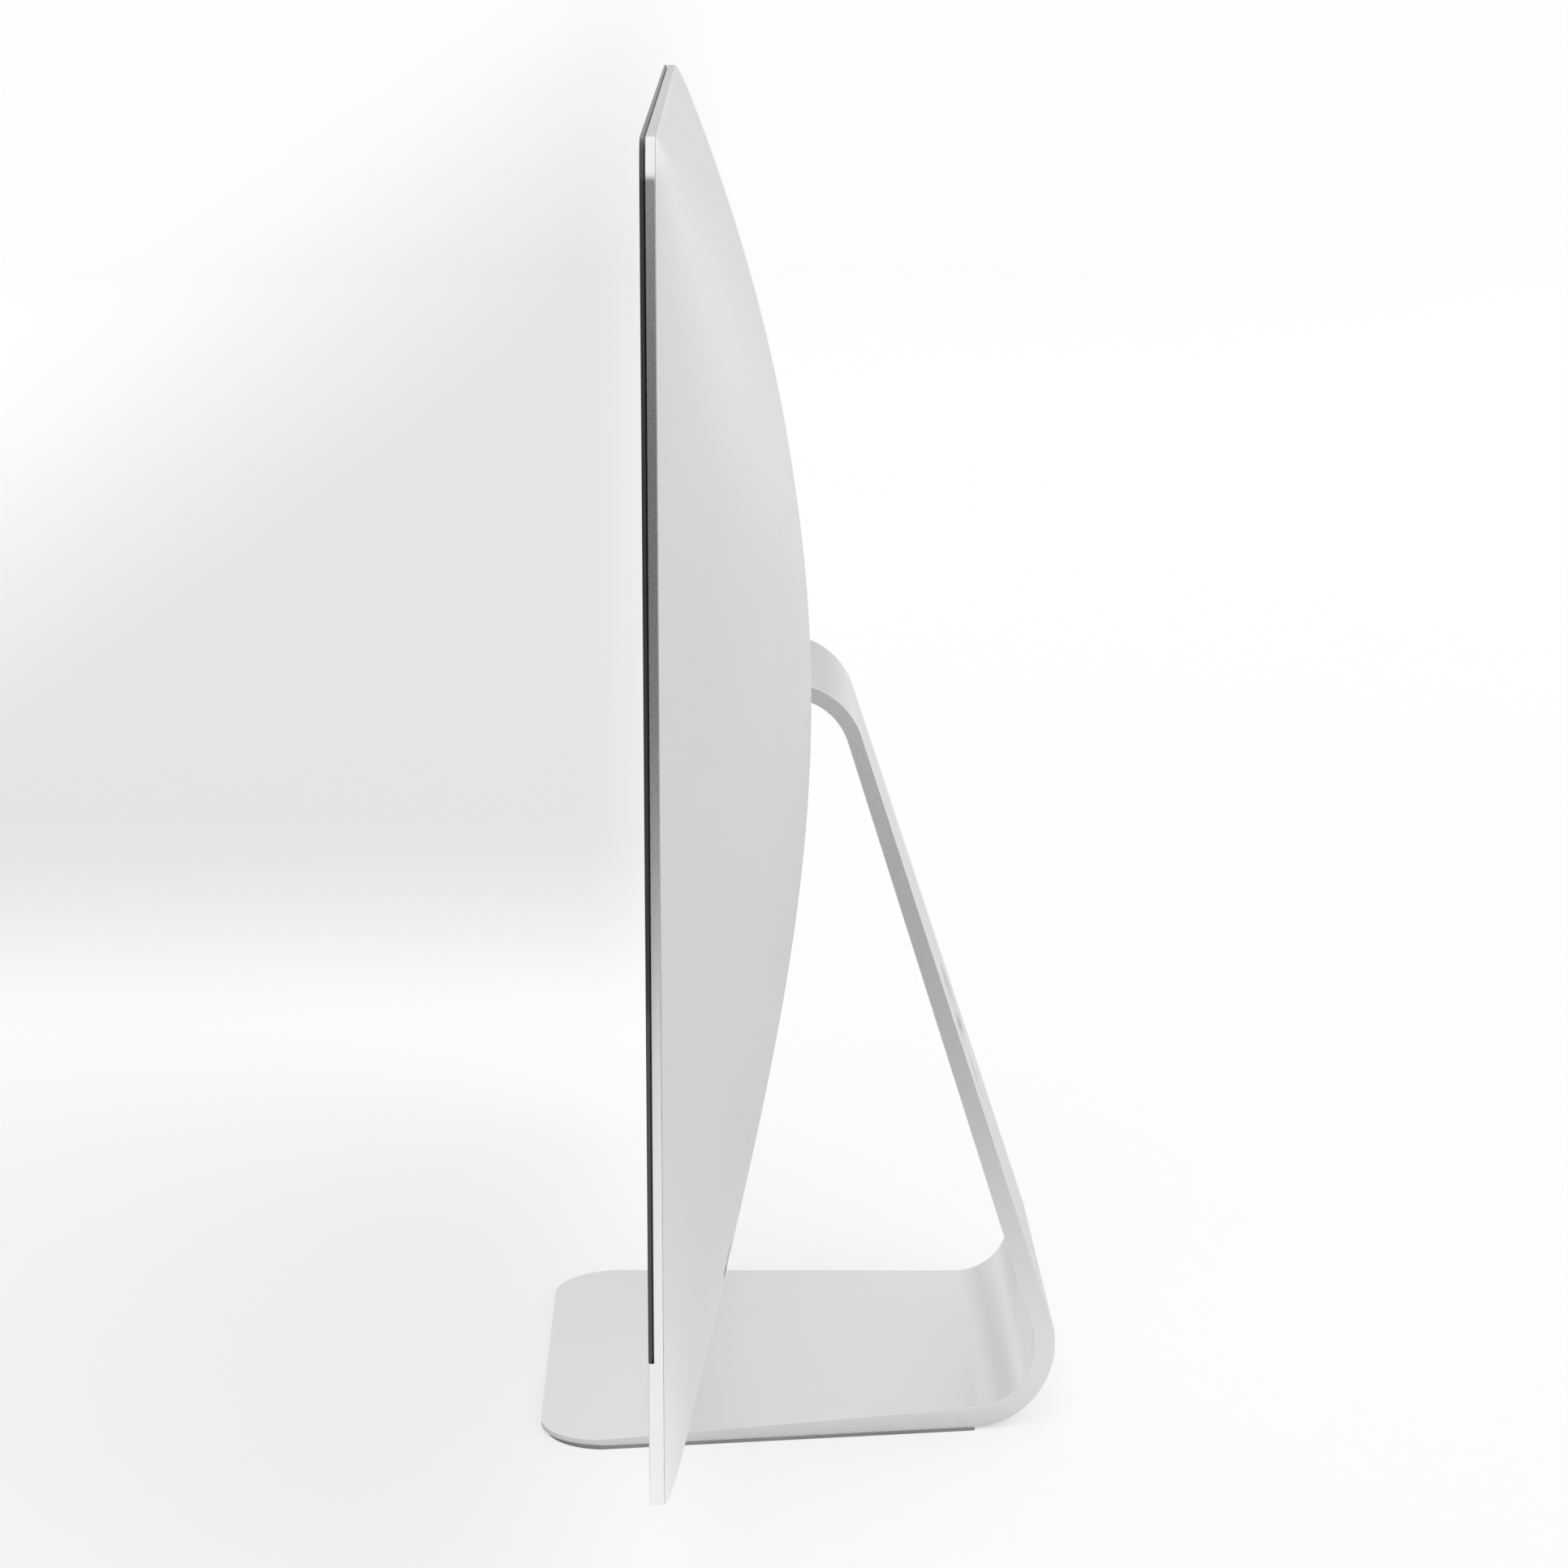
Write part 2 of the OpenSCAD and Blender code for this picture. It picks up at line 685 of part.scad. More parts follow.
board_x = [92, 284];
board_z = [114, 330];
arm_board_x = [-60, 92];
arm_board_z = [door_z - door_h/2 - 16, door_z + door_h/2 - 4];
board_holes = [[board_x[0] + 8, socket_z + 18], [board_x[1] - 14, board_z[0] + 12],
    [board_x[0] + 10, board_z[1] - 5], [board_x[1] - 12, board_z[1] - 10]];

module logic_board() {
    color(board_green)
        difference() {
            union() {
                part_box(board_x, [board_d, board_back], board_z);
                part_box(arm_board_x, [board_d, board_back], arm_board_z);
            }
            for (p = board_holes)
                part_rod(p[0], p[1], 1.7, board_d - 1, board_back + 1);
        }
}

module board_posts() {
    color(bright)
        for (p = board_holes)
            union() {
                part_rod(p[0], p[1], 3, board_back, seat_d(p[0], p[1], 3));
                part_rod(p[0], p[1], 1.6, board_d, board_back);
                part_rod(p[0], p[1], 3, board_d - 1.2, board_d);
            }
}

cpu_x = 160;
cpu_z = 250;
module board_chips() {
    color([0.12, 0.12, 0.13]) {
        part_box([cpu_x - 19, cpu_x + 19], [board_back, board_back + 2.4], [cpu_z - 19, cpu_z + 19]);
        part_box([cpu_x + 38, cpu_x + 60], [board_back, board_back + 2], [cpu_z - 13, cpu_z + 13]);
        part_box([cpu_x + 30, cpu_x + 50], [board_back, board_back + 1.4], [cpu_z - 100, cpu_z - 80]);
        for (i = [0:5])
            part_box([cpu_x - 4 + 11*i, cpu_x + 4 + 11*i], [board_back, board_back + 4],
                [cpu_z - 52, cpu_z - 44]);
        for (i = [0:3])
            part_box([board_x[0] + 14 + 14*i, board_x[0] + 25 + 14*i], [board_d - 1.1, board_d],
                [board_z[1] - 40, board_z[1] - 26]);
    }
}

module processor_heatsink() {
    d0 = board_back + 2.4;
    fins = 13;
    pitch = 4.2;
    color(aluminium)
        union() {
            part_box([cpu_x - 28, cpu_x + 28], [d0, d0 + 3], [cpu_z - 26, cpu_z + 26]);
            for (i = [0:fins - 1])
                part_box([cpu_x - 26 + pitch*i, cpu_x - 24.8 + pitch*i], [d0 + 2, d0 + 14],
                    [cpu_z - 26, cpu_z + 26]);
        }
}

pipe_w = 5;
pipe_z = duct_z[0] + 4;
pipe_half = 1.2;
module heat_pipes() {
    d = [board_back + 2.4 - pipe_half, board_back + 2.4 + pipe_half];
    fins = 19;
    fin_pitch = 5;
    color(copper)
        union() {
            for (i = [0, 1]) {
                z = pipe_z + (pipe_w + 2)*i;
                x = cpu_x + 12 - 14*i;
                part_box([-48, x], d, [z, z + pipe_w]);
                part_box([x - pipe_w - 1, x], d, [cpu_z + 26.2, z + pipe_w]);
            }
            for (i = [0:fins - 1])
                part_box([fin_pitch*(i - (fins - 1)/2) - 0.3, fin_pitch*(i - (fins - 1)/2) + 0.3],
                    [d[1] - 0.5, duct_d[1] - 6], [duct_z[0] + 2, duct_z[1] - 2]);
        }
}

module fan_case() {
    r = fan_d/2 + 4;
    wall = 1.2;
    color([0.14, 0.14, 0.15])
        difference() {
            union() {
                part_rod(fan_x, fan_z, r, fan_depth[0], fan_depth[1]);
                part_box([fan_x, fan_x + r + 6], fan_depth, [fan_z + outlet_low, fan_z + r - 2]);
                for (a = [100, 190, 260]) {
                    lug_x = fan_x + (r + 2)*cos(a);
                    lug_z = fan_z + (r + 2)*sin(a);
                    part_rod(lug_x, lug_z, 4, fan_depth[0], fan_depth[0] + 3);
                    part_rod(lug_x, lug_z, 3, fan_depth[0] + 2, seat_d(lug_x, lug_z, 3));
                }
            }
            part_rod(fan_x, fan_z, r - wall, fan_depth[0] + wall, fan_depth[1] - wall);
            part_box([fan_x, fan_x + r + 8], [fan_depth[0] + wall, fan_depth[1] - wall],
                [fan_z + outlet_low + wall, fan_z + r - 2 - wall]);
            part_rod(fan_x, fan_z, fan_d/2 - 12, fan_depth[1] - wall - 1, fan_depth[1] + 1);
            part_rod(fan_x, fan_z, 2.05, fan_depth[0] - 1, fan_depth[0] + wall + 1);
        }
}

module fan_rotor() {
    wall = 1.2;
    gap = 0.8;
    tall = fan_t - 2*wall - 2*gap;
    hub = 15;
    color([0.1, 0.1, 0.11])
        translate([fan_x, glass_y + fan_depth[0] + wall + gap, fan_z])
            rotate([-90, 0, 0])
                union() {
                    cylinder(r = hub, h = tall);
                    translate([0, 0, -wall - gap])
                        cylinder(r = 2, h = wall + gap + 1);
                    cylinder(r = hub + 6, h = 1);
                    for (i = [0:fan_blades - 1])
                        rotate([0, 0, 360*i/fan_blades])
                            translate([hub - 0.5, -0.6, 0])
                                cube([fan_d/2 - hub + 0.5, 1.2, tall]);
                }
}

module exhaust_duct() {
    wall = 1.2;
    open_x = -50;
    color([0.16, 0.16, 0.17])
        difference() {
            part_box(duct_x, duct_d, duct_z);
            part_box([duct_x[0] - 1, open_x], [duct_d[0] + wall, duct_d[1] - wall],
                [duct_z[0] + wall, duct_z[1] - wall]);
            part_box([open_x - 1, duct_x[1] - wall], [duct_d[0] - 1, duct_d[1] - wall],
                [duct_z[0] + wall, duct_z[1] - wall]);
            part_box([-neck_half + 6, neck_half - 6], [duct_d[1] - 3, duct_d[1] + 1],
                [grille_z - grille_h/2 + 0.5, grille_z + grille_h/2 + 3]);
        }
}

module exhaust_grille() {
    half = neck_half - 6;
    bar = 3;
    gap = 3.4;
    count = floor((2*half - bar)/(bar + gap));
    d = min(inner_d(half + 2, grille_z + grille_h/2 + 1.5), inner_d(half + 2, grille_z - grille_h/2 - 1.5))
        - post_gap;
    color(black)
        difference() {
            part_box([-half - 2, half + 2], [d - 2, d],
                [grille_z - grille_h/2 - 1.5, grille_z + grille_h/2 + 1.5]);
            for (i = [0:count - 1])
                part_box([-half + bar + (bar + gap)*i, -half + bar + gap + (bar + gap)*i], [d - 3, d + 1],
                    [grille_z - grille_h/2 + 0.5, grille_z + grille_h/2 - 0.5]);
        }
}

// ---- memory ----

module_w = 67.6;
module_h = 30;
module_count = 4;
module_d = board_back + 3;
slots_z = arm_board_z[0] + 2;
slots_gap = 2.198;
slots_d = inner_d(module_w/2 + 3, slots_z) - slots_gap;
module_pitch = (slots_d - 2.3 - module_d)/(module_count - 1);
function module_at(i) = module_d + module_pitch*i;

module memory_slots() {
    color([0.2, 0.2, 0.21])
        difference() {
            union() {
                part_box([-module_w/2 - 3, module_w/2 + 3], [board_back, slots_d],
                    [slots_z, slots_z + 2.5]);
                for (i = [0:module_count - 1])
                    part_box([-module_w/2 - 3, module_w/2 + 3], [module_at(i) - 2, module_at(i) + 2],
                        [slots_z + 2, slots_z + 8]);
            }
            for (i = [0:module_count - 1])
                part_box([-module_w/2 - 0.2, module_w/2 + 0.2], [module_at(i) - 0.65, module_at(i) + 0.65],
                    [slots_z + 4, slots_z + 9]);
        }
}

module memory_modules() {
    color(board_green)
        for (i = [0:module_count - 1])
            union() {
                part_box([-module_w/2, module_w/2], [module_at(i) - 0.6, module_at(i) + 0.6],
                    [slots_z + 4, slots_z + 4 + module_h]);
                for (k = [0:3])
                    part_box([-module_w/2 + 4 + 15.5*k, -module_w/2 + 16 + 15.5*k],
                        [module_at(i) - 1.6, module_at(i) + 1.6], [slots_z + 12, slots_z + 22]);
            }
}

module door_hole(gap) {
    r = 3 + gap;
    stand_up(20, back_d(0, hinge_z) + 1)
        translate([0, -gap])
            head_outline(door_w + 2*gap, door_z - door_h/2, door_z + door_h/2 + 2*gap, r, r);
}

// The door's face follows the dome.
module memory_door() {
    color(aluminium)
        intersection() {
            skin_patch(-door_w/2 - 1, door_w/2 + 1, door_z - door_h/2 - 1, door_z + door_h/2 + 1, 0, skin_t);
            door_hole(0);
        }
}

module door_release() {
    d1 = back_d(0, release_z);
    color(aluminium)
        part_box([-release_w/2, release_w/2], [d1 - 6, d1 - 0.2],
            [release_z - release_h/2, release_z + release_h/2]);
}

// ---- drives and cards ----

module hard_drive() {
    x = 73.5;
    d = [tray_d + 2.6, tray_d + 2.6 + 24];
    color(bright)
        difference() {
            union() {
                part_box([-x, x], d, drive_z);
                part_rod(20, (drive_z[0] + drive_z[1])/2, 44, d[1], d[1] + 0.8);
            }
            for (z = [drive_z[0] + 3, drive_z[1] - 3])
                for (s = [-1, 1])
                    part_rod(s*(x - 4), z + (z > (drive_z[0] + drive_z[1])/2 ? -2 : 2), 1.6, d[1] - 3,
                        d[1] + 1);
        }
}

module drive_bracket() {
    x = 73.5;
    color(dark_steel)
        for (s = [-1, 1])
            union() {
                part_box([s*(x + 3) - 2.6, s*(x + 3) + 2.6], [tray_d + 4, tray_d + 20],
                    [drive_z[0] + 4, drive_z[1] - 4]);
                part_rod(s*(x + 3), drive_z[0] + 16, 2.6, tray_d + 19,
                    seat_d(s*(x + 3), drive_z[0] + 16, 2.6));
                part_rod(s*(x + 3), drive_z[1] - 16, 2.6, tray_d + 19,
                    seat_d(s*(x + 3), drive_z[1] - 16, 2.6));
            }
}

module ssd_blade() {
    color([0.1, 0.1, 0.11])
        union() {
            part_box([board_x[1] - 60, board_x[1] - 38], [board_back + 1.6, board_back + 2.6],
                [board_z[1] - 72, board_z[1] - 6]);
            part_box([board_x[1] - 58, board_x[1] - 40], [board_back + 2.6, board_back + 3.8],
                [board_z[1] - 60, board_z[1] - 14]);
            part_box([board_x[1] - 60, board_x[1] - 38], [board_back, board_back + 3],
                [board_z[1] - 78, board_z[1] - 71]);
        }
}

module wireless_card() {
    x = [board_x[1] - 52, board_x[1] - 22];
    z = [board_z[0] + 28, board_z[0] + 54];
    color(board_green)
        union() {
            part_box(x, [board_back + 1, board_back + 2], [z[0] + 2, z[1]]);
            part_box([x[0] + 4, x[1] - 4], [board_back + 2, board_back + 3.6], [z[0] + 8, z[1] - 6]);
            part_box(x, [board_back, board_back + 1], [z[0], z[0] + 4]);
        }
}

module antennas() {
    color(copper)
        for (s = [-1, 1])
            part_box([s*210 - 26, s*210 + 26], [tray_d, tray_d + 1],
                [glass_mid + lcd_h/2 - 22, glass_mid + lcd_h/2 - 8]);
}

module coin_cell() {
    color(bright)
        union() {
            part_rod(board_x[0] + 26, board_z[0] + 60, 10, board_back + 0.8, board_back + 4);
            part_rod(board_x[0] + 26, board_z[0] + 60, 11, board_back, board_back + 0.8);
        }
}

// ---- power ----

module power_supply() {
    color([0.2, 0.2, 0.2])
        union() {
            part_box(supply_x, [tray_d + 3, tray_d + 4.6], supply_z);
            for (i = [0:2])
                part_rod(supply_x[1] - 16, supply_z[0] + 24 + 30*i, 9, tray_d + 4.6, tray_d + 17);
            part_box([supply_x[0] + 12, supply_x[0] + 40], [tray_d + 4.6, tray_d + 14],
                [supply_z[0] + 44, supply_z[0] + 72]);
            part_box([supply_x[0] + 8, supply_x[0] + 44], [tray_d + 4.6, tray_d + 12],
                [supply_z[0] + 82, supply_z[0] + 110]);
        }
}

supply_holes = [[supply_x[1] - 5, supply_z[1] - 5], [supply_x[0] + 5, supply_z[1] - 5],
    [supply_x[1] - 5, supply_z[0] + 5], [supply_x[0] + 5, supply_z[0] + 30]];
module supply_posts() {
    color(bright)
        for (p = supply_holes)
            part_rod(p[0], p[1], 2.6, tray_d + 4.6, seat_d(p[0], p[1], 2.6));
}

inlet_depth = 18;
inlet_wall = 1.5;
inlet_front = back_d(0, inlet_z - inlet_h/2) - 1.2;
module power_inlet() {
    color([0.1, 0.1, 0.1])
        difference() {
            union() {
                part_box([-inlet_w/2, inlet_w/2], [inlet_front - inlet_depth, inlet_front],
                    [inlet_z - inlet_h/2, inlet_z + inlet_h/2]);
                part_box([-inlet_w/2 - 5, inlet_w/2 + 5],
                    [inlet_front - inlet_depth, inlet_front - inlet_depth + 3],
                    [inlet_z - inlet_h/2 - 1, inlet_z + inlet_h/2 + 1]);
            }
            part_box([-inlet_w/2 + inlet_wall, inlet_w/2 - inlet_wall],
                [inlet_front - inlet_depth + 2, inlet_front + 1],
                [inlet_z - inlet_h/2 + inlet_wall, inlet_z + inlet_h/2 - inlet_wall]);
        }
}

module inlet_pins() {
    color("darkgoldenrod")
        for (p = [[-6, -2], [0, 2], [6, -2]])
            part_box([p[0] - 1, p[0] + 1], [inlet_front - inlet_depth + 2, inlet_front - 7],
                [inlet_z + p[1] - 2, inlet_z + p[1] + 2]);
}

// ---- sound and chin ----

module speaker(side) {
    color([0.13, 0.13, 0.14])
        union() {
            part_box([min(side*165, side*246), max(side*165, side*246)], [chin_t + 0.1, 8],
                [head_lift + 12, chin_z - 11]);
            part_box([min(side*165, side*236), max(side*165, side*236)], [7.5, 12.5],
                [chin_z - 24, chin_z - 11]);
            part_rod(side*190, chin_z - 24, 8.5, 7.5, 13);
        }
}

module speaker_left() {
    speaker(-1);
}

module speaker_right() {
    speaker(1);
}

module chin_brace() {
    color(dark_steel)
        part_box([-290, 290], [cavity_d, cavity_d + 3], [chin_z - 7, chin_z - 2]);
}

module bottom_grille() {
    color(black)
        part_box([-head_w/2 + corner_r + 4, head_w/2 - corner_r - 4], [chin_t + 0.1, chin_t + 1.7],
            [head_lift + rim_t, head_lift + rim_t + 0.8]);
}

// ---- buttons and sockets ----

button_travel = 0.8;
module power_button() {
    color(bright)
        at_button()
            union() {
                translate([0, 0, -3.5])
                    cylinder(d = button_d, h = 3.5);
                translate([0, 0, -4.5])
                    cylinder(r = button_d/2 - 2.5, h = 1.5);
            }
}

module button_board() {
    color(board_green)
        at_button()
            union() {
                translate([-10, -7, -7.2])
                    cube([20, 14, 1.2]);
                translate([-2.5, -2.5, -6.1])
                    cube([5, 5, 0.7]);
                for (x = [-8.5, 8.5])
                    translate([x, 0, -6.1])
                        cylinder(r = 1.2, h = 3.1);
            }
}

socket_deep = 14;
module usb_ports() {
    wall = 0.5;
    color(bright)
        for (i = [0:usb_count - 1]) {
            d1 = mouth_d(usb_at(i), usb_h);
            union() {
                difference() {
                    part_box([usb_at(i) - usb_w/2, usb_at(i) + usb_w/2], [board_back, d1],
                        [socket_z - usb_h/2, socket_z + usb_h/2]);
                    part_box([usb_at(i) - usb_w/2 + wall, usb_at(i) + usb_w/2 - wall],
                        [board_back + 1, d1 + 1],
                        [socket_z - usb_h/2 + wall, socket_z + usb_h/2 - wall]);
                }
                part_box([usb_at(i) - 5.5, usb_at(i) + 5.5], [board_back + 0.5, d1 - 1.5],
                    [socket_z - 0.2, socket_z + 1.6]);
            }
        }
}

module video_ports() {
    wall = 0.4;
    color(bright)
        for (i = [0:video_count - 1]) {
            d1 = mouth_d(video_at(i), video_h);
            union() {
                difference() {
                    part_box([video_at(i) - video_w/2, video_at(i) + video_w/2], [board_back, d1],
                        [socket_z - video_h/2, socket_z + video_h/2]);
                    part_box([video_at(i) - video_w/2 + wall, video_at(i) + video_w/2 - wall],
                        [board_back + 1, d1 + 1], [socket_z - video_h/2 + wall, socket_z + video_h/2 - wall]);
                }
                part_box([video_at(i) - 3.3, video_at(i) + 3.3], [board_back + 0.5, d1 - 1],
                    [socket_z - 0.35, socket_z + 0.35]);
            }
        }
}

net_wall = 0.8;
module network_port() {
    d1 = mouth_d(net_x, net_h);
    color(bright)
        difference() {
            part_box([net_x - net_w/2, net_x + net_w/2], [board_back, d1],
                [socket_z - net_h/2, socket_z + net_h/2]);
            part_box([net_x - net_w/2 + net_wall, net_x + net_w/2 - net_wall], [board_back + 1.5, d1 + 1],
                [socket_z - net_h/2 + net_wall, socket_z + net_h/2 - net_wall]);
        }
}

module audio_jack() {
    d1 = mouth_d(jack_x, 7);
    color([0.12, 0.12, 0.12])
        difference() {
            union() {
                part_box([jack_x - 4, jack_x + 4], [board_back, d1 - 2], [socket_z - 4, socket_z + 4]);
                part_rod(jack_x, socket_z, 2.9, d1 - 3, d1 + 0.4);
            }
            part_rod(jack_x, socket_z, jack_d/2, d1 - socket_deep, d1 + 2);
        }
}

module card_slot() {
    d1 = mouth_d(card_x, card_h);
    color(bright)
        difference() {
            part_box([card_x - card_w/2, card_x + card_w/2], [board_back, d1],
                [socket_z - card_h/2, socket_z + card_h/2]);
            part_box([card_x - card_w/2 + 0.6, card_x + card_w/2 - 0.6], [board_back + 1, d1 + 1],
                [socket_z - card_h/2 + 0.4, socket_z + card_h/2 - 0.4]);
        }
}

module display_cable() {
    x = [board_x[0] + 60, board_x[0] + 96];
    color(black)
        union() {
            part_box(x, [tray_d, tray_d + 0.8], [board_z[1] - 4, board_z[1] + 22]);
            part_box(x, [tray_d, board_d + 1], [board_z[1] + 21.2, board_z[1] + 22]);
            part_box(x, [board_d + 0.2, board_d + 1], [board_z[1] + 0.1, board_z[1] + 21.6]);
        }
}

stand();
foot_pad();
hinge_arms();
hinge_shaft();
hinge_screws();
torsion_springs();
friction_clutch();
hinge_bracket();
hinge_bushes();
bracket_posts();
rear_shell();
edge_band();
cover_glass();
display_tape();
lcd_panel();
backlight_tray();
tray_ribs();
camera_module();
microphones();
logic_board();
board_posts();
board_chips();
processor_heatsink();
heat_pipes();
fan_case();
fan_rotor();
exhaust_duct();
exhaust_grille();
memory_slots();
memory_modules();
memory_door();
door_release();
hard_drive();
drive_bracket();
ssd_blade();
wireless_card();
antennas();
coin_cell();
power_supply();
supply_posts();
power_inlet();
inlet_pins();
speaker_left();
speaker_right();
chin_brace();
bottom_grille();
power_button();
button_board();
usb_ports();
video_ports();
network_port();
audio_jack();
card_slot();
display_cable();
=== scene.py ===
"""Looks of the all-in-one desktop computer: housing, bent stand, glass, materials and light."""
import math

import bmesh
import bpy
from mathutils import Matrix, Vector


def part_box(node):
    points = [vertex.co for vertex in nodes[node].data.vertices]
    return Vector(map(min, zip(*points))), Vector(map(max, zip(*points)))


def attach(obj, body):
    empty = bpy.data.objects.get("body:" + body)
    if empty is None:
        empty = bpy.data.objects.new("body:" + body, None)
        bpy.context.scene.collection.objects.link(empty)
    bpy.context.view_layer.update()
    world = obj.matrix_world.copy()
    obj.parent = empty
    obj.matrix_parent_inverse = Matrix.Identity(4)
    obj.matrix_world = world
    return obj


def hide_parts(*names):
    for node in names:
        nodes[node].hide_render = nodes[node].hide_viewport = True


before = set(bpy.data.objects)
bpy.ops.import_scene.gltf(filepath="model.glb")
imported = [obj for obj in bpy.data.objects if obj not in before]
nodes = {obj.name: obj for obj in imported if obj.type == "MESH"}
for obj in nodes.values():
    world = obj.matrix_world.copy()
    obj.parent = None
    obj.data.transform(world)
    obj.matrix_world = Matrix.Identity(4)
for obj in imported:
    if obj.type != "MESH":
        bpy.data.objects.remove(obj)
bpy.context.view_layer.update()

# ---- sizes, in millimetres, read from the CAD nodes in model.glb where they hold them ----
# The others repeat the CAD source's sizes; CURL_END is its curl_end counted from level.

MM = 0.001


def mm_box(node):
    """Lowest and highest corner of a CAD node, in millimetres."""
    low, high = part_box(node)
    return low / MM, high / MM


band_lo, band_hi = mm_box("edge_band")
stand_lo, stand_hi = mm_box("stand")
glass_lo, glass_hi = mm_box("cover_glass")
door_lo, door_hi = mm_box("memory_door")
panel_lo, panel_hi = mm_box("lcd_panel")
camera_lo, camera_hi = mm_box("camera_module")

HALF_W = band_hi.x
LOW = band_lo.z
TOP = band_hi.z
FRONT = band_lo.y
EDGE_T = band_hi.y - band_lo.y
BULGE = 54.6
SKIN_T = 1.6
CORNER_R = 13.0
# the dome's formula: how it rises from top and bottom, how it falls to the sides, how both meet
DOME_P = 0.75
SIDE_N = 3.2
MERGE = 1.1

# gaps round what passes through the skin
SLOT_GAP = 0.8
DOOR_GAP = 0.5
INLET_GAP = 0.5
SOCKET_GAP = 0.35
BUTTON_GAP = 0.35
# radii of the door's and its opening's corners, the grille's, the sockets' and the audio hole
DOOR_R = 3.0
DOOR_ROOM_R = 3.5
GRILLE_R = 2.5
SOCKET_R = 0.8
JACK_R = 3.25
# the opening shows the grille's middle and covers this much of its sides, top and bottom
GRILLE_LAP_X = 2.0
GRILLE_LAP_Z = 1.5
# the power button's middle above the head's lowest edge
BUTTON_RISE = 31
# where cutters through the dome start and end
CUT_FROM = FRONT + 20
CUT_FROM_HIGH = FRONT + 40
CUT_TO = FRONT + EDGE_T + BULGE + 2

LEAN = math.radians(18)
BEND_R = 32.0
BEND_T = 8.0
FOOT_T = 2.0
FOOT_R = 26.0
PAD_T = stand_lo.z
CURL_R = 31.0
NECK_T = 5.8
CURL_END = math.radians(98)
TAPER_Y = 0.118
TAPER_Z = 0.122
HOLE_D = 58.0
HOLE_Z = 139.5
HINGE_Z = 263.5

FOOT_HALF = stand_hi.x
FOOT_FRONT = stand_lo.y
BEND_Y = stand_hi.y - BEND_R
BEND_Z = PAD_T + BEND_R
REAR_Y = BEND_Y + BEND_R * math.cos(LEAN)
REAR_Z = BEND_Z + BEND_R * math.sin(LEAN)
CURL_Z = HINGE_Z + CURL_R * math.sin(LEAN)
HINGE_Y = REAR_Y - (CURL_Z - REAR_Z) * math.tan(LEAN) - CURL_R * math.cos(LEAN)

# ---- mesh helpers ----


def add_mesh(name, points, faces, smooth=True):
    """A mesh object from points in millimetres."""
    mesh = bpy.data.meshes.new(name)
    mesh.from_pydata([Vector(p) * MM for p in points], [], faces)
    mesh.validate()
    mesh.polygons.foreach_set("use_smooth", [smooth] * len(mesh.polygons))
    piece = bpy.data.objects.new(name, mesh)
    bpy.context.scene.collection.objects.link(piece)
    return piece


def fix_normals(piece):
    """Turns every face of a closed mesh outwards."""
    work = bmesh.new()
    work.from_mesh(piece.data)
    bmesh.ops.recalc_face_normals(work, faces=work.faces)
    work.to_mesh(piece.data)
    work.free()


def apply_modifiers(piece):
    """Replaces the mesh by its evaluated one and drops the modifiers."""
    graph = bpy.context.evaluated_depsgraph_get()
    made = bpy.data.meshes.new_from_object(piece.evaluated_get(graph))
    piece.modifiers.clear()
    piece.data = made


def boolean(piece, cutters, operation="DIFFERENCE"):
    """Cuts or meets the piece with throwaway solids."""
    for cutter in cutters:
        step = piece.modifiers.new("cut", "BOOLEAN")
        step.operation = operation
        step.solver = "EXACT"
        step.object = cutter
    apply_modifiers(piece)
    for cutter in cutters:
        bpy.data.objects.remove(cutter)


def bevel(piece, width, segments=3, angle=35):
    """Rounds the piece's sharp edges, with the flat faces kept flat in the shading."""
    step = piece.modifiers.new("bevel", "BEVEL")
    step.width = width * MM
    step.segments = segments
    step.limit_method = "ANGLE"
    step.angle_limit = math.radians(angle)
    step.harden_normals = True
    step.use_clamp_overlap = True
    apply_modifiers(piece)


def box_solid(name, x, y, z):
    """A plain box between two values on each axis."""
    points = [(x[i], y[j], z[k]) for i in (0, 1) for j in (0, 1) for k in (0, 1)]
    faces = [
        (0, 1, 3, 2), (4, 6, 7, 5), (0, 4, 5, 1),
        (2, 3, 7, 6), (0, 2, 6, 4), (1, 5, 7, 3),
    ]
    return add_mesh(name, points, faces, smooth=False)


def block_faces(n):
    """Faces of a block whose two ends are outlines of n points each."""
    faces = [tuple(range(n)), tuple(range(2 * n - 1, n - 1, -1))]
    faces += [(i, n + i, n + (i + 1) % n, (i + 1) % n) for i in range(n)]
    return faces


def shell_faces(columns, rows):
    """Faces of two sheets on one grid of columns and rows, joined by a rim."""
    wide = columns + 1
    count = wide * (rows + 1)
    faces = []
    for j in range(rows):
        for i in range(columns):
            a = j * wide + i
            quad = (a, a + wide, a + wide + 1, a + 1)
            faces += [quad, tuple(count + k for k in reversed(quad))]
    rim = [(i, 0) for i in range(columns)] + [(columns, j) for j in range(rows)]
    rim += [(i, rows) for i in range(columns, 0, -1)] + [(0, j) for j in range(rows, 0, -1)]
    ring = [j * wide + i for i, j in rim]
    after = ring[1:] + ring[:1]
    faces += [(a, b, count + b, count + a) for a, b in zip(ring, after)]
    return faces


def prism(name, outline, y0, y1):
    """An outline in x and z, extruded along y."""
    points = [(x, y, z) for y in (y0, y1) for x, z in outline]
    piece = add_mesh(name, points, block_faces(len(outline)))
    fix_normals(piece)
    return piece


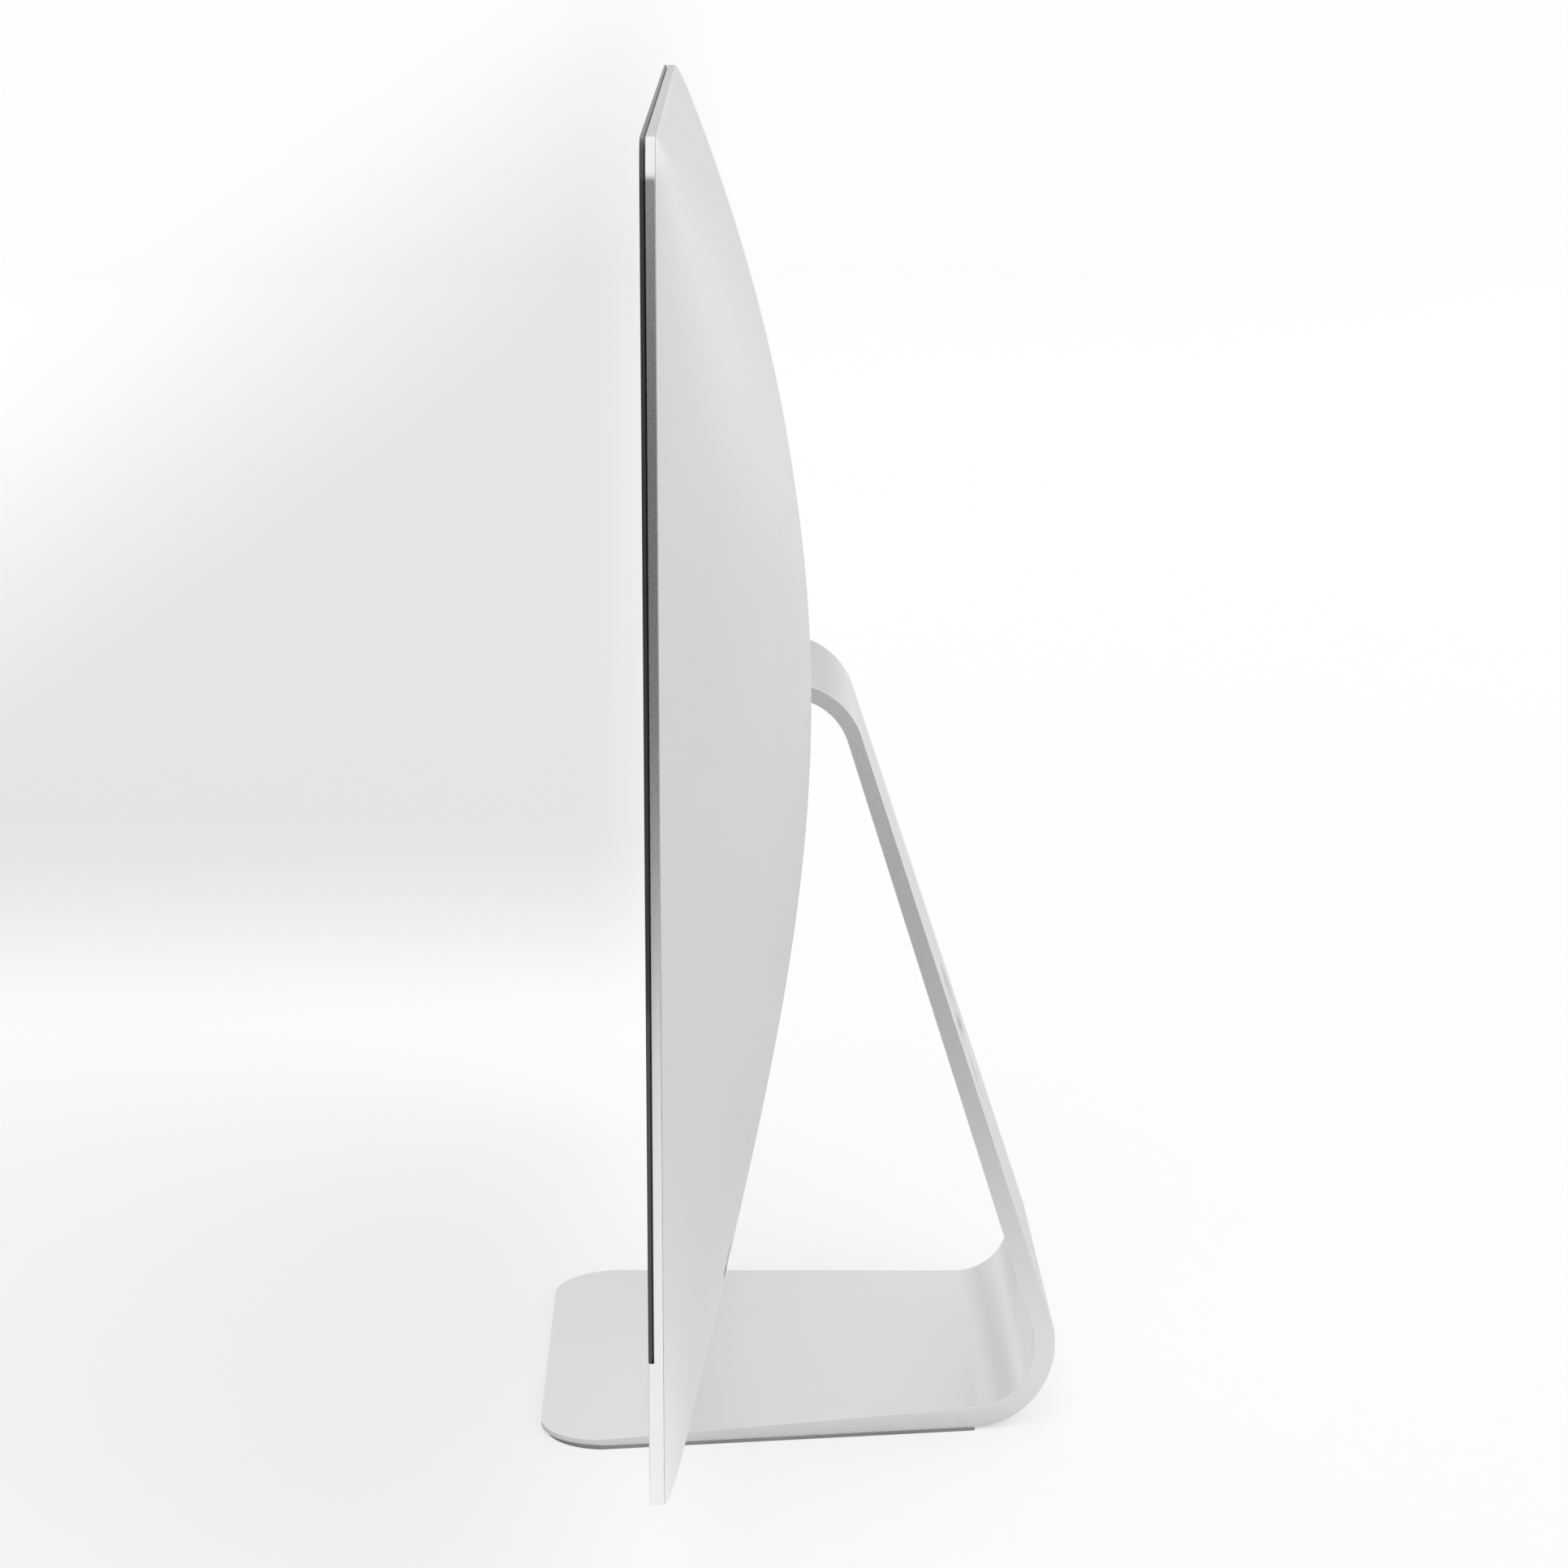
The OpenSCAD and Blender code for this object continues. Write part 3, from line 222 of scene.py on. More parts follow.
def rounded(x0, x1, z0, z1, radius, steps=10, low_radius=None):
    """A rectangle's outline with round corners, from the lower right corner upwards."""
    low = radius if low_radius is None else low_radius
    outline = []
    for cx, cz, r, start in (
        (x1 - low, z0 + low, low, -90), (x1 - radius, z1 - radius, radius, 0),
        (x0 + radius, z1 - radius, radius, 90), (x0 + low, z0 + low, low, 180),
    ):
        count = steps if r > 0 else 0
        for i in range(count + 1):
            a = math.radians(start + 90 * i / max(count, 1))
            outline.append((cx + r * math.cos(a), cz + r * math.sin(a)))
    return outline


def lathe(name, profile, matrix, steps=64):
    """Turns a profile of (radius, height) about an axis, closed at both ends on the axis."""
    points = [matrix @ Vector((0, 0, profile[0][1]))]
    for radius, height in profile[1:-1]:
        for i in range(steps):
            a = 2 * math.pi * i / steps
            points.append(matrix @ Vector((radius * math.cos(a), radius * math.sin(a), height)))
    points.append(matrix @ Vector((0, 0, profile[-1][1])))
    last = len(points) - 1
    faces = [(0, 1 + (i + 1) % steps, 1 + i) for i in range(steps)]
    for ring in range(len(profile) - 3):
        a, b = 1 + ring * steps, 1 + (ring + 1) * steps
        faces += [
            (a + i, a + (i + 1) % steps, b + (i + 1) % steps, b + i) for i in range(steps)
        ]
    top = 1 + (len(profile) - 3) * steps
    faces += [(top + i, top + (i + 1) % steps, last) for i in range(steps)]
    piece = add_mesh(name, points, faces)
    fix_normals(piece)
    return piece


# ---- the dome ----


def unit(value):
    """The value held between 0 and 1."""
    return max(0.0, min(1.0, value))


def half_at(z, inset=0.0):
    """Half the width of the head's outline at height z."""
    r = CORNER_R - inset
    from_end = min(z - LOW - inset, TOP - inset - z)
    short = max(0.0, r - from_end)
    return HALF_W - inset - r + math.sqrt(max(0.0, r * r - short * short))


def back_y(x, z, inset=0.0, thickness=0.0):
    """Where the dome's face lies at x and z, or the inner face with an inset and a thickness."""
    height = unit((z - LOW - inset) / (TOP - LOW - 2 * inset))
    rise = unit(math.sin(math.pi * height)) ** DOME_P
    side = unit(1 - unit(abs(x) / half_at(z, inset)) ** SIDE_N)
    both = (rise ** MERGE + side ** MERGE - (rise * side) ** MERGE) ** (1 / MERGE)
    return FRONT + EDGE_T + (BULGE - thickness) * rise * side / max(both, 1e-4)


def dome_normal(x, z):
    """The dome's outward normal, from its slopes either way."""
    step = 0.4
    half = half_at(z)
    x0, x1 = max(-half, x - step), min(half, x + step)
    z0, z1 = max(LOW, z - step), min(TOP, z + step)
    slope_x = (back_y(x1, z) - back_y(x0, z)) / max(x1 - x0, 1e-6)
    slope_z = (back_y(x, z1) - back_y(x, z0)) / max(z1 - z0, 1e-6)
    return Vector((-slope_x, 1.0, -slope_z)).normalized()


def dome_shading(piece):
    """Gives the loops on the dome's face its true normals, so that cuts leave no shading marks."""
    close_to_dome, same_way = 0.6, 0.7
    mesh = piece.data
    mesh.polygons.foreach_set("use_smooth", [True] * len(mesh.polygons))
    known = {}
    normals = []
    for face in mesh.polygons:
        flat = face.normal.copy()
        for index in face.vertices:
            if index not in known:
                x, y, z = mesh.vertices[index].co / MM
                on_dome = y > back_y(x, z) - close_to_dome
                known[index] = dome_normal(x, z) if on_dome else None
            true = known[index]
            fits = true is not None and true.dot(flat) > same_way
            normals.append(true if fits else flat)
    mesh.normals_split_custom_set(normals)


def dome_solid(name, columns, rows):
    """The domed skin as a closed solid: an outer and an inner sheet joined by a rim."""
    points = []
    inner_inset = 2.0
    for inset, thickness in ((0.0, 0.0), (inner_inset, SKIN_T)):
        for j in range(rows + 1):
            low, high = LOW + inset, TOP - inset
            z = low + (high - low) * (1 - math.cos(math.pi * j / rows)) / 2
            for i in range(columns + 1):
                x = half_at(z, inset) * math.sin(math.pi * (i / columns - 0.5))
                points.append((x, back_y(x, z, inset, thickness), z))
    piece = add_mesh(name, points, shell_faces(columns, rows))
    fix_normals(piece)
    return piece


def room_cutter(span, gap, radius, steps=10):
    """A cutter round a span of x and z that runs out through the dome."""
    x0, x1, z0, z1 = span
    outline = rounded(x0 - gap, x1 + gap, z0 - gap, z1 + gap, radius, steps)
    return prism("cutter", outline, CUT_FROM, CUT_TO)


def node_cutter(node, gap):
    """A cutter round a CAD node's outline."""
    low, high = mm_box(node)
    roundness = 0.3
    radius = min(high.x - low.x, high.z - low.z) / 2 * roundness + gap
    return room_cutter((low.x, high.x, low.z, high.z), gap, radius, steps=6)


def row_cutters(node):
    """One cutter for each separate solid of a node, from the islands of its mesh."""
    work = bmesh.new()
    work.from_mesh(nodes[node].data)
    bmesh.ops.remove_doubles(work, verts=work.verts, dist=1e-6)
    seen, spans = set(), []
    for start in work.verts:
        if start in seen:
            continue
        stack, xs, zs = [start], [], []
        seen.add(start)
        while stack:
            vert = stack.pop()
            xs.append(vert.co.x / MM)
            zs.append(vert.co.z / MM)
            for edge in vert.link_edges:
                other = edge.other_vert(vert)
                if other not in seen:
                    seen.add(other)
                    stack.append(other)
        spans.append((min(xs), max(xs), min(zs), max(zs)))
    work.free()
    return [room_cutter(span, SOCKET_GAP, SOCKET_R, steps=5) for span in spans]


def round_cutter(radius, reach, place, steps):
    """A round cutter that reaches the same way to both sides of its place."""
    profile = [(0, -reach), (radius, -reach), (radius, reach), (0, reach)]
    return lathe("cutter", profile, place, steps)


def slot_cutter():
    """The neck's slot, an arc about the hinge, so its gap stays the same as the head tilts."""
    neck_half = (FOOT_HALF - TAPER_Y * (HINGE_Y - FOOT_FRONT)
                 - TAPER_Z * (HINGE_Z + CURL_R - NECK_T))
    slot_half = neck_half + SLOT_GAP
    steps, low, high = 36, 20, 80
    arc = []
    for r, a0, a1 in ((CURL_R + SLOT_GAP, low, high), (CURL_R - NECK_T - SLOT_GAP, high, low)):
        for i in range(steps + 1):
            a = math.radians(a0 + (a1 - a0) * i / steps)
            arc.append((HINGE_Y + r * math.cos(a), HINGE_Z + r * math.sin(a)))
    points = [(x, y, z) for x in (-slot_half, slot_half) for y, z in arc]
    slot = add_mesh("cutter", points, block_faces(len(arc)))
    fix_normals(slot)
    return slot


def make_skin():
    """The domed back with all its openings: neck, grille, door, release, sockets, button."""
    skin = dome_solid("rear_skin", columns=160, rows=130)
    slot = slot_cutter()
    grille_lo, grille_hi = mm_box("exhaust_grille")
    outline = rounded(grille_lo.x + GRILLE_LAP_X, grille_hi.x - GRILLE_LAP_X,
                      grille_lo.z + GRILLE_LAP_Z, grille_hi.z - GRILLE_LAP_Z, GRILLE_R)
    cutters = [
        slot,
        prism("cutter", outline, CUT_FROM_HIGH, CUT_TO),
        node_cutter("door_release", BUTTON_GAP),
        node_cutter("power_inlet", INLET_GAP),
        room_cutter((door_lo.x, door_hi.x, door_lo.z, door_hi.z), DOOR_GAP, DOOR_ROOM_R),
    ]
    for node in ("usb_ports", "video_ports", "network_port", "card_slot"):
        cutters += row_cutters(node)
    jack_lo, jack_hi = mm_box("audio_jack")
    middle = ((jack_lo.x + jack_hi.x) / 2, CUT_FROM_HIGH, (jack_lo.z + jack_hi.z) / 2)
    turned = Matrix.Translation(middle) @ Matrix.Rotation(-math.pi / 2, 4, "X")
    cutters.append(round_cutter(JACK_R, reach=20, place=turned, steps=40))
    place, radius = button_place()
    cutters.append(round_cutter(radius + BUTTON_GAP, reach=8, place=place, steps=64))
    boolean(skin, cutters)
    dome_shading(skin)
    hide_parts("rear_shell")
    return skin


def button_place():
    """The power button's seat on the sloping skin, and its radius."""
    low, high = mm_box("power_button")
    x = (low.x + high.x) / 2
    z = LOW + BUTTON_RISE
    slope = math.atan2((back_y(x, z + 1) - back_y(x, z - 1)) / 2, 1)
    normal = Vector((0, math.cos(slope), -math.sin(slope)))
    up = Vector((0, math.sin(slope), math.cos(slope)))
    side = up.cross(normal)
    turn = Matrix((side, up, normal)).transposed().to_4x4()
    return Matrix.Translation((x, back_y(x, z), z)) @ turn, (high.x - low.x) / 2


def make_button():
    """A round button with a shallow dished face and a rounded rim."""
    place, radius = button_place()
    base, chamfer, rim_z, rim_r = -3.5, 0.3, -0.55, 0.45
    face_z, dish = -0.1, 0.35
    profile = [(0, base), (radius - chamfer, base), (radius, base + chamfer), (radius, rim_z)]
    profile += [
        (radius - rim_r * (1 - math.cos(a)), rim_z + rim_r * math.sin(a))
        for a in (math.radians(15 * k) for k in range(1, 7))
    ]
    profile += [
        (radius - rim_r - (radius - rim_r) * t, face_z - dish * math.sin(math.pi / 2 * t) ** 2)
        for t in (k / 10 for k in range(1, 10))
    ]
    profile += [(0, face_z - dish)]
    button = lathe("power_button_cap", profile, place, steps=72)
    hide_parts("power_button")
    return button


def make_door():
    """The memory door, its face in line with the dome."""
    columns, rows = 48, 24
    spare = 1
    x0, x1 = door_lo.x - spare, door_hi.x + spare
    z0, z1 = door_lo.z - spare, door_hi.z + spare
    points = []
    for depth in (0.0, SKIN_T):
        for j in range(rows + 1):
            for i in range(columns + 1):
                x = x0 + (x1 - x0) * i / columns
                z = z0 + (z1 - z0) * j / rows
                points.append((x, back_y(x, z) - depth, z))
    door = add_mesh("memory_door_cover", points, shell_faces(columns, rows))
    fix_normals(door)
    span = (door_lo.x, door_hi.x, door_lo.z, door_hi.z)
    boolean(door, [room_cutter(span, 0, DOOR_R)], "INTERSECT")
    dome_shading(door)
    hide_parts("memory_door")
    return door


# ---- the stand ----


def arc_points(cy, cz, r, a0, a1, steps):
    """Points in y and z on an arc about a centre."""
    angles = [a0 + (a1 - a0) * i / steps for i in range(steps + 1)]
    return [(cy + r * math.cos(a), cz + r * math.sin(a)) for a in angles]


def stand_half(y, z):
    """Half the plate's width, drawn in round the foot's front corners."""
    half = FOOT_HALF - TAPER_Y * (y - FOOT_FRONT) - TAPER_Z * z
    centre_x = FOOT_HALF - TAPER_Y * FOOT_R - FOOT_R * math.sqrt(1 + TAPER_Y ** 2)
    back = FOOT_FRONT + FOOT_R - y
    if back > -FOOT_R * math.sin(math.atan(TAPER_Y)):
        half = min(half, centre_x + math.sqrt(max(0.0, FOOT_R ** 2 - back ** 2)))
    return half


def make_stand():
    """One plate: the foot, the bend, the leaning neck and the curl that enters the head."""
    corner_steps, bend_steps, curl_steps = 14, 44, 40
    quarter = [math.pi / 2 * i / corner_steps for i in range(corner_steps + 1)]
    corner = [FOOT_FRONT + FOOT_R * (1 - math.cos(a)) for a in quarter]
    length = BEND_Y - FOOT_FRONT
    outer = [(y, PAD_T) for y in corner]
    inner = [(y, PAD_T + FOOT_T + (BEND_T - FOOT_T) * (y - FOOT_FRONT) / length) for y in corner]
    outer += arc_points(BEND_Y, BEND_Z, BEND_R, -math.pi / 2, LEAN, bend_steps)
    inner += arc_points(BEND_Y, BEND_Z, BEND_R - BEND_T, -math.pi / 2, LEAN, bend_steps)
    outer += arc_points(HINGE_Y, HINGE_Z, CURL_R, LEAN, CURL_END, curl_steps)
    inner += arc_points(HINGE_Y, HINGE_Z, CURL_R - NECK_T, LEAN, CURL_END, curl_steps)
    points, faces = [], []
    for (y0, z0), (y1, z1) in zip(outer, inner):
        points += [(-stand_half(y0, z0), y0, z0), (stand_half(y0, z0), y0, z0)]
        points += [(stand_half(y1, z1), y1, z1), (-stand_half(y1, z1), y1, z1)]
    for k in range(len(outer) - 1):
        a, b = 4 * k, 4 * k + 4
        faces += [(a + i, a + (i + 1) % 4, b + (i + 1) % 4, b + i) for i in range(4)]
    end = 4 * (len(outer) - 1)
    faces += [(0, 3, 2, 1), (end, end + 1, end + 2, end + 3)]
    stand = add_mesh("stand_plate", points, faces)
    fix_normals(stand)
    hole_y = REAR_Y - (HOLE_Z - REAR_Z) * math.tan(LEAN)
    turned = Matrix.Translation((0, hole_y, HOLE_Z)) @ Matrix.Rotation(-math.pi / 2 + LEAN, 4, "X")
    boolean(stand, [round_cutter(HOLE_D / 2, reach=20, place=turned, steps=128)])
    bevel(stand, width=0.45)
    step = stand.modifiers.new("normals", "WEIGHTED_NORMAL")
    step.keep_sharp = True
    apply_modifiers(stand)
    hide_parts("stand")
    return stand


# ---- the glass ----


def make_glass():
    """The cover glass, edge to edge, with a fine rounded rim."""
    outline = rounded(glass_lo.x, glass_hi.x, glass_lo.z, glass_hi.z, CORNER_R, steps=14,
                      low_radius=0)
    glass = prism("glass_front", outline, glass_lo.y, glass_hi.y)
    bevel(glass, width=0.3, segments=2)
    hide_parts("cover_glass")
    return glass


def make_band():
    """The flat front of the metal body: the chin, the seat of the glass and the thin edges."""
    glass_gap = 0.3
    chin_z = glass_lo.z - glass_gap
    outline = rounded(-HALF_W, HALF_W, LOW, TOP, CORNER_R, steps=20)
    band = prism("edge_frame", outline, FRONT, FRONT + EDGE_T)
    bevel(band, width=0.35)
    rim, deep, seat, chin_t, chin_shelf = 2.0, 3.4, 1.9, 1.6, 8
    panel_gap, camera_gap = 2, 1
    wide = HALF_W + 10
    inside = rounded(-HALF_W + rim, HALF_W - rim, LOW + rim, TOP - rim, CORNER_R - rim)
    cutters = [
        # the seat of the glass
        box_solid("cutter", (-wide, wide), (FRONT - 5, FRONT + seat), (chin_z, TOP + 5)),
        # the panel's opening
        box_solid("cutter", (panel_lo.x - panel_gap, panel_hi.x + panel_gap),
                  (FRONT - 1, FRONT + EDGE_T + 1),
                  (panel_lo.z - panel_gap, panel_hi.z + panel_gap)),
        # the room behind, inside the thin edges
        prism("cutter", inside, FRONT + deep, FRONT + EDGE_T + 1),
        # the room behind the chin's face
        box_solid("cutter", (-HALF_W + CORNER_R, HALF_W - CORNER_R),
                  (FRONT + chin_t, FRONT + deep + 1), (LOW + rim, chin_z - chin_shelf)),
        # the camera's opening
        box_solid("cutter", (camera_lo.x - camera_gap, camera_hi.x + camera_gap),
                  (FRONT, FRONT + deep + 1), (panel_hi.z - panel_gap, camera_hi.z + 0.5)),
    ]
    # the row of slots under the chin
    pitch, slot_half, slot_front, slot_back, plain_end = 24, 8.5, 2.0, 3.2, 20
    count = int((HALF_W - CORNER_R - plain_end) // pitch)
    for i in range(-count, count + 1):
        cutters.append(box_solid("cutter", (pitch * i - slot_half, pitch * i + slot_half),
                                 (FRONT + slot_front, FRONT + slot_back),
                                 (LOW - 1, LOW + rim + 1)))
    boolean(band, cutters)
    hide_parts("edge_band")
    return band


def make_lens():
    """The camera's window and the light sensor beside it, set flush in the black border."""
    z = (camera_lo.z + camera_hi.z) / 2
    made = []
    for name, x, radius, top_radius, proud, steps in (
        ("camera_window", 0, 2.6, 2.2, 0.03, 48),
        ("light_sensor", 11, 0.9, 0.7, 0.02, 32),
    ):
        place = Matrix.Translation((x, glass_lo.y, z)) @ Matrix.Rotation(math.pi / 2, 4, "X")
        profile = [(0, -0.2), (radius, -0.2), (radius, 0.0), (top_radius, proud), (0, proud)]
        made.append(lathe(name, profile, place, steps))
    return made


# ---- materials ----


class Nodes:
    """A material's node tree, with short calls to add and join nodes."""

    def __init__(self, name):
        self.material = bpy.data.materials.new(name)
        self.material.use_nodes = True
        self.tree = self.material.node_tree
        self.shader = self.tree.nodes["Principled BSDF"]

    def add(self, kind):
        """A new node of a kind."""
        return self.tree.nodes.new(kind)

    def join(self, source, target):
        """Joins an output to an input."""
        self.tree.links.new(source, target)

    def place(self):
        """The object's own coordinates, in metres."""
        return self.add("ShaderNodeTexCoord").outputs["Object"]

    def axes(self):
        """The object's own coordinates, as outputs X, Y and Z."""
        split = self.add("ShaderNodeSeparateXYZ")
        self.join(self.place(), split.inputs["Vector"])
        return split.outputs

    def noise(self, scale, detail=4.0, stretch=None):
        """A noise over the object, stretched along an axis where a finish is drawn out."""
        node = self.add("ShaderNodeTexNoise")
        node.inputs["Scale"].default_value = scale
        node.inputs["Detail"].default_value = detail
        source = self.place()
        if stretch:
            mapping = self.add("ShaderNodeMapping")
            mapping.inputs["Scale"].default_value = stretch
            self.join(source, mapping.inputs["Vector"])
            source = mapping.outputs["Vector"]
        self.join(source, node.inputs["Vector"])
        return node.outputs["Fac"]

    def ramp(self, source, low, high, start=0.3, end=0.7):
        """Runs from one colour to another as the source rises."""
        node = self.add("ShaderNodeValToRGB")
        node.color_ramp.elements[0].position = start
        node.color_ramp.elements[1].position = end
        node.color_ramp.elements[0].color = (*low, 1)
        node.color_ramp.elements[1].color = (*high, 1)
        self.join(source, node.inputs["Fac"])
        return node.outputs["Color"]

    def spread(self, source, low, high, start=0.3, end=0.7):
        """Maps the source to a number between low and high."""
        node = self.add("ShaderNodeMapRange")
        for index, value in enumerate((start, end, low, high), 1):
            node.inputs[index].default_value = value
        self.join(source, node.inputs[0])
        return node.outputs[0]

    def soft(self, source, low, high, start, end):
        """Like spread, with a soft run at both ends."""
        result = self.spread(source, low, high, start, end)
        result.node.interpolation_type = "SMOOTHSTEP"
        return result

    def maths(self, operation, *values):
        """One sum: each value is a number or the output of a node."""
        node = self.add("ShaderNodeMath")
        node.operation = operation
        for index, value in enumerate(values):
            if isinstance(value, (int, float)):
                node.inputs[index].default_value = value
            else:
                self.join(value, node.inputs[index])
        return node.outputs[0]

    def mix(self, source, low, high):
        """Runs from low to high: each is a colour or the output of a node."""
        node = self.add("ShaderNodeMixRGB")
        self.join(source, node.inputs["Fac"])
        for name, value in (("Color1", low), ("Color2", high)):
            if isinstance(value, tuple):
                node.inputs[name].default_value = (*value, 1)
            else:
                self.join(value, node.inputs[name])
        return node.outputs["Color"]

    def bump(self, source, distance):
        """Puts the source in relief, at a height in metres."""
        node = self.add("ShaderNodeBump")
        node.inputs["Distance"].default_value = distance
        node.inputs["Strength"].default_value = 1.0
        self.join(source, node.inputs["Height"])
        self.join(node.outputs["Normal"], self.shader.inputs["Normal"])


def shade(colour, factor):
    """The colour made lighter or darker."""
    return tuple(min(1.0, c * factor) for c in colour)


def surface(name, colour, metallic, rough, grain, depth, vary, stretch=None, coat=0.0):
    """A finish with cloudy colour, uneven gloss and a fine grain in relief.

    grain is the grain's scale, depth its relief in metres, and vary how much the colour changes.
    """
    cloud_scale = 9.0
    tree = Nodes(name)
    cloud = tree.noise(cloud_scale, 3.0)
    fine = tree.noise(grain, 3.0, stretch)
    tree.join(tree.ramp(cloud, shade(colour, 1 - vary), shade(colour, 1 + vary)),
              tree.shader.inputs["Base Color"])
    tree.join(tree.spread(fine, rough * 0.88, rough * 1.12), tree.shader.inputs["Roughness"])
    tree.shader.inputs["Metallic"].default_value = metallic
    tree.shader.inputs["Coat Weight"].default_value = coat
    tree.bump(fine, depth)
    return tree.material


def circuit_surface(name):
    """Green solder mask with fine traces and pads."""
    tree = Nodes(name)
    cells = tree.add("ShaderNodeTexBrick")
    cells.inputs["Scale"].default_value = 260
    cells.inputs["Mortar Size"].default_value = 0.018
    cells.inputs["Color1"].default_value = (0.020, 0.105, 0.075, 1)
    cells.inputs["Color2"].default_value = (0.028, 0.130, 0.090, 1)
    cells.inputs["Mortar"].default_value = (0.055, 0.190, 0.130, 1)
    turned = tree.add("ShaderNodeMapping")
    turned.inputs["Rotation"].default_value = (math.pi / 2, 0, 0)
    tree.join(tree.place(), turned.inputs["Vector"])
    tree.join(turned.outputs["Vector"], cells.inputs["Vector"])
    tree.join(cells.outputs["Color"], tree.shader.inputs["Base Color"])
    tree.join(tree.spread(tree.noise(300), 0.3, 0.42), tree.shader.inputs["Roughness"])
    tree.bump(cells.outputs["Fac"], 0.00003)
    return tree.material


def glass_surface(name):
    """Black-bordered cover glass over a switched-off panel."""
    border, screen, rim_colour = (0.010, 0.011, 0.0105), (0.016, 0.017, 0.019), (0.045, 0.05, 0.048)
    lap = 5
    tree = Nodes(name)
    place = tree.axes()
    inside = []
    for axis, low, high in (
        ("X", panel_lo.x + lap, panel_hi.x - lap), ("Z", panel_lo.z + lap, panel_hi.z - lap),
    ):
        centred = tree.maths("SUBTRACT", place[axis], (low + high) / 2 * MM)
        size = tree.maths("ABSOLUTE", centred)
        inside.append(tree.maths("LESS_THAN", size, (high - low) / 2 * MM))
    both = tree.maths("MULTIPLY", *inside)
    facing = tree.add("ShaderNodeSeparateXYZ")
    tree.join(tree.add("ShaderNodeNewGeometry").outputs["Normal"], facing.inputs["Vector"])
    rim = tree.spread(tree.maths("ABSOLUTE", facing.outputs["Y"]), 1, 0, 0.2, 0.7)
    tree.join(tree.mix(rim, tree.ramp(both, border, screen, 0.0, 1.0), rim_colour),
              tree.shader.inputs["Base Color"])
    tree.join(tree.spread(tree.noise(14, 5), 0.035, 0.06), tree.shader.inputs["Roughness"])
    tree.shader.inputs["IOR"].default_value = 1.52
    return tree.material


def make_materials():
    """One material for each finish, by name."""
    # name, colour, metallic, roughness, grain, depth, vary
    return {
        "satin": surface("aluminium_satin", (0.88, 0.895, 0.91), 1.0, 0.44, 2600, 0.000012, 0.012),
        "edge": surface("aluminium_edge", (0.88, 0.885, 0.89), 1.0, 0.27, 3200, 0.000004, 0.012),
        "plate": surface("aluminium_plate", (0.94, 0.945, 0.95), 1.0, 0.33, 2600, 0.000012, 0.014),
        "cap": surface("aluminium_cap", (0.80, 0.81, 0.82), 1.0, 0.34, 3000, 0.000006, 0.015),
        "glass": glass_surface("black_glass"),
        "lens": surface("lens_glass", (0.012, 0.013, 0.022), 0.0, 0.06, 400, 0.000001, 0.3,
                        coat=1.0),
        "panel": surface("panel_dark", (0.02, 0.02, 0.025), 0.0, 0.3, 900, 0.000004, 0.2),
        "pad": surface("pad_rubber", (0.26, 0.26, 0.265), 0.0, 0.75, 1500, 0.00004, 0.15),
        "dark_steel": surface("dark_steel", (0.11, 0.11, 0.118), 1.0, 0.42, 1200, 0.00001, 0.1),
        "bright_steel": surface("bright_steel", (0.66, 0.67, 0.68), 1.0, 0.3, 900, 0.00001, 0.05,
                                stretch=(0.15, 1, 1)),
        "heatsink": surface("heatsink_metal", (0.70, 0.71, 0.72), 1.0, 0.42, 900, 0.00002, 0.05),
        "copper": surface("copper_part", (0.72, 0.40, 0.25), 1.0, 0.3, 900, 0.00001, 0.08),
        "brass": surface("brass_part", (0.75, 0.58, 0.28), 1.0, 0.28, 900, 0.00001, 0.06),
        "plastic": surface("black_plastic", (0.022, 0.022, 0.024), 0.0, 0.55, 1800, 0.00003, 0.15),
        "chip": surface("chip_plastic", (0.035, 0.035, 0.038), 0.0, 0.5, 1600, 0.00002, 0.12),
        "board": circuit_surface("circuit_board"),
    }


# Which finish each carried-over CAD node wears.
FINISHES = {
    "pad": ["foot_pad"],
    "cap": ["door_release"],
    "panel": ["lcd_panel", "display_tape"],
    "dark_steel": ["hinge_arms", "torsion_springs", "friction_clutch", "hinge_bracket"],
    "bright_steel": [
        "hinge_shaft", "hinge_screws", "bracket_posts", "board_posts", "supply_posts", "usb_ports",
        "video_ports", "network_port", "card_slot", "hard_drive", "coin_cell", "drive_bracket",
    ],
    "heatsink": ["processor_heatsink", "backlight_tray", "tray_ribs", "chin_brace"],
    "copper": ["heat_pipes"],
    "brass": ["hinge_bushes", "inlet_pins", "antennas"],
    "plastic": [
        "fan_case", "fan_rotor", "exhaust_duct", "exhaust_grille", "power_inlet", "speaker_left",
        "speaker_right", "bottom_grille", "audio_jack", "display_cable", "camera_module",
        "microphones", "memory_slots", "power_supply",
    ],
    "chip": ["board_chips"],
    "board": ["logic_board", "memory_modules", "ssd_blade", "wireless_card", "button_board"],
}


def dress(piece, material):
    """Gives the piece one material."""
    piece.data.materials.clear()
    piece.data.materials.append(material)


def dress_nodes(finishes):
    """Gives each CAD node that still shows its own finish."""
    for finish, names in FINISHES.items():
        for name in names:
            dress(nodes[name], finishes[finish])


# ---- the room ----


# The photograph's viewing point in metres, rounded. The floor's shade zone is laid out from it
# once and for all: the zone is fixed to the floor and stays there in every other view.
VIEW_X, VIEW_Y, VIEW_Z = 1.54, -0.031, 0.58


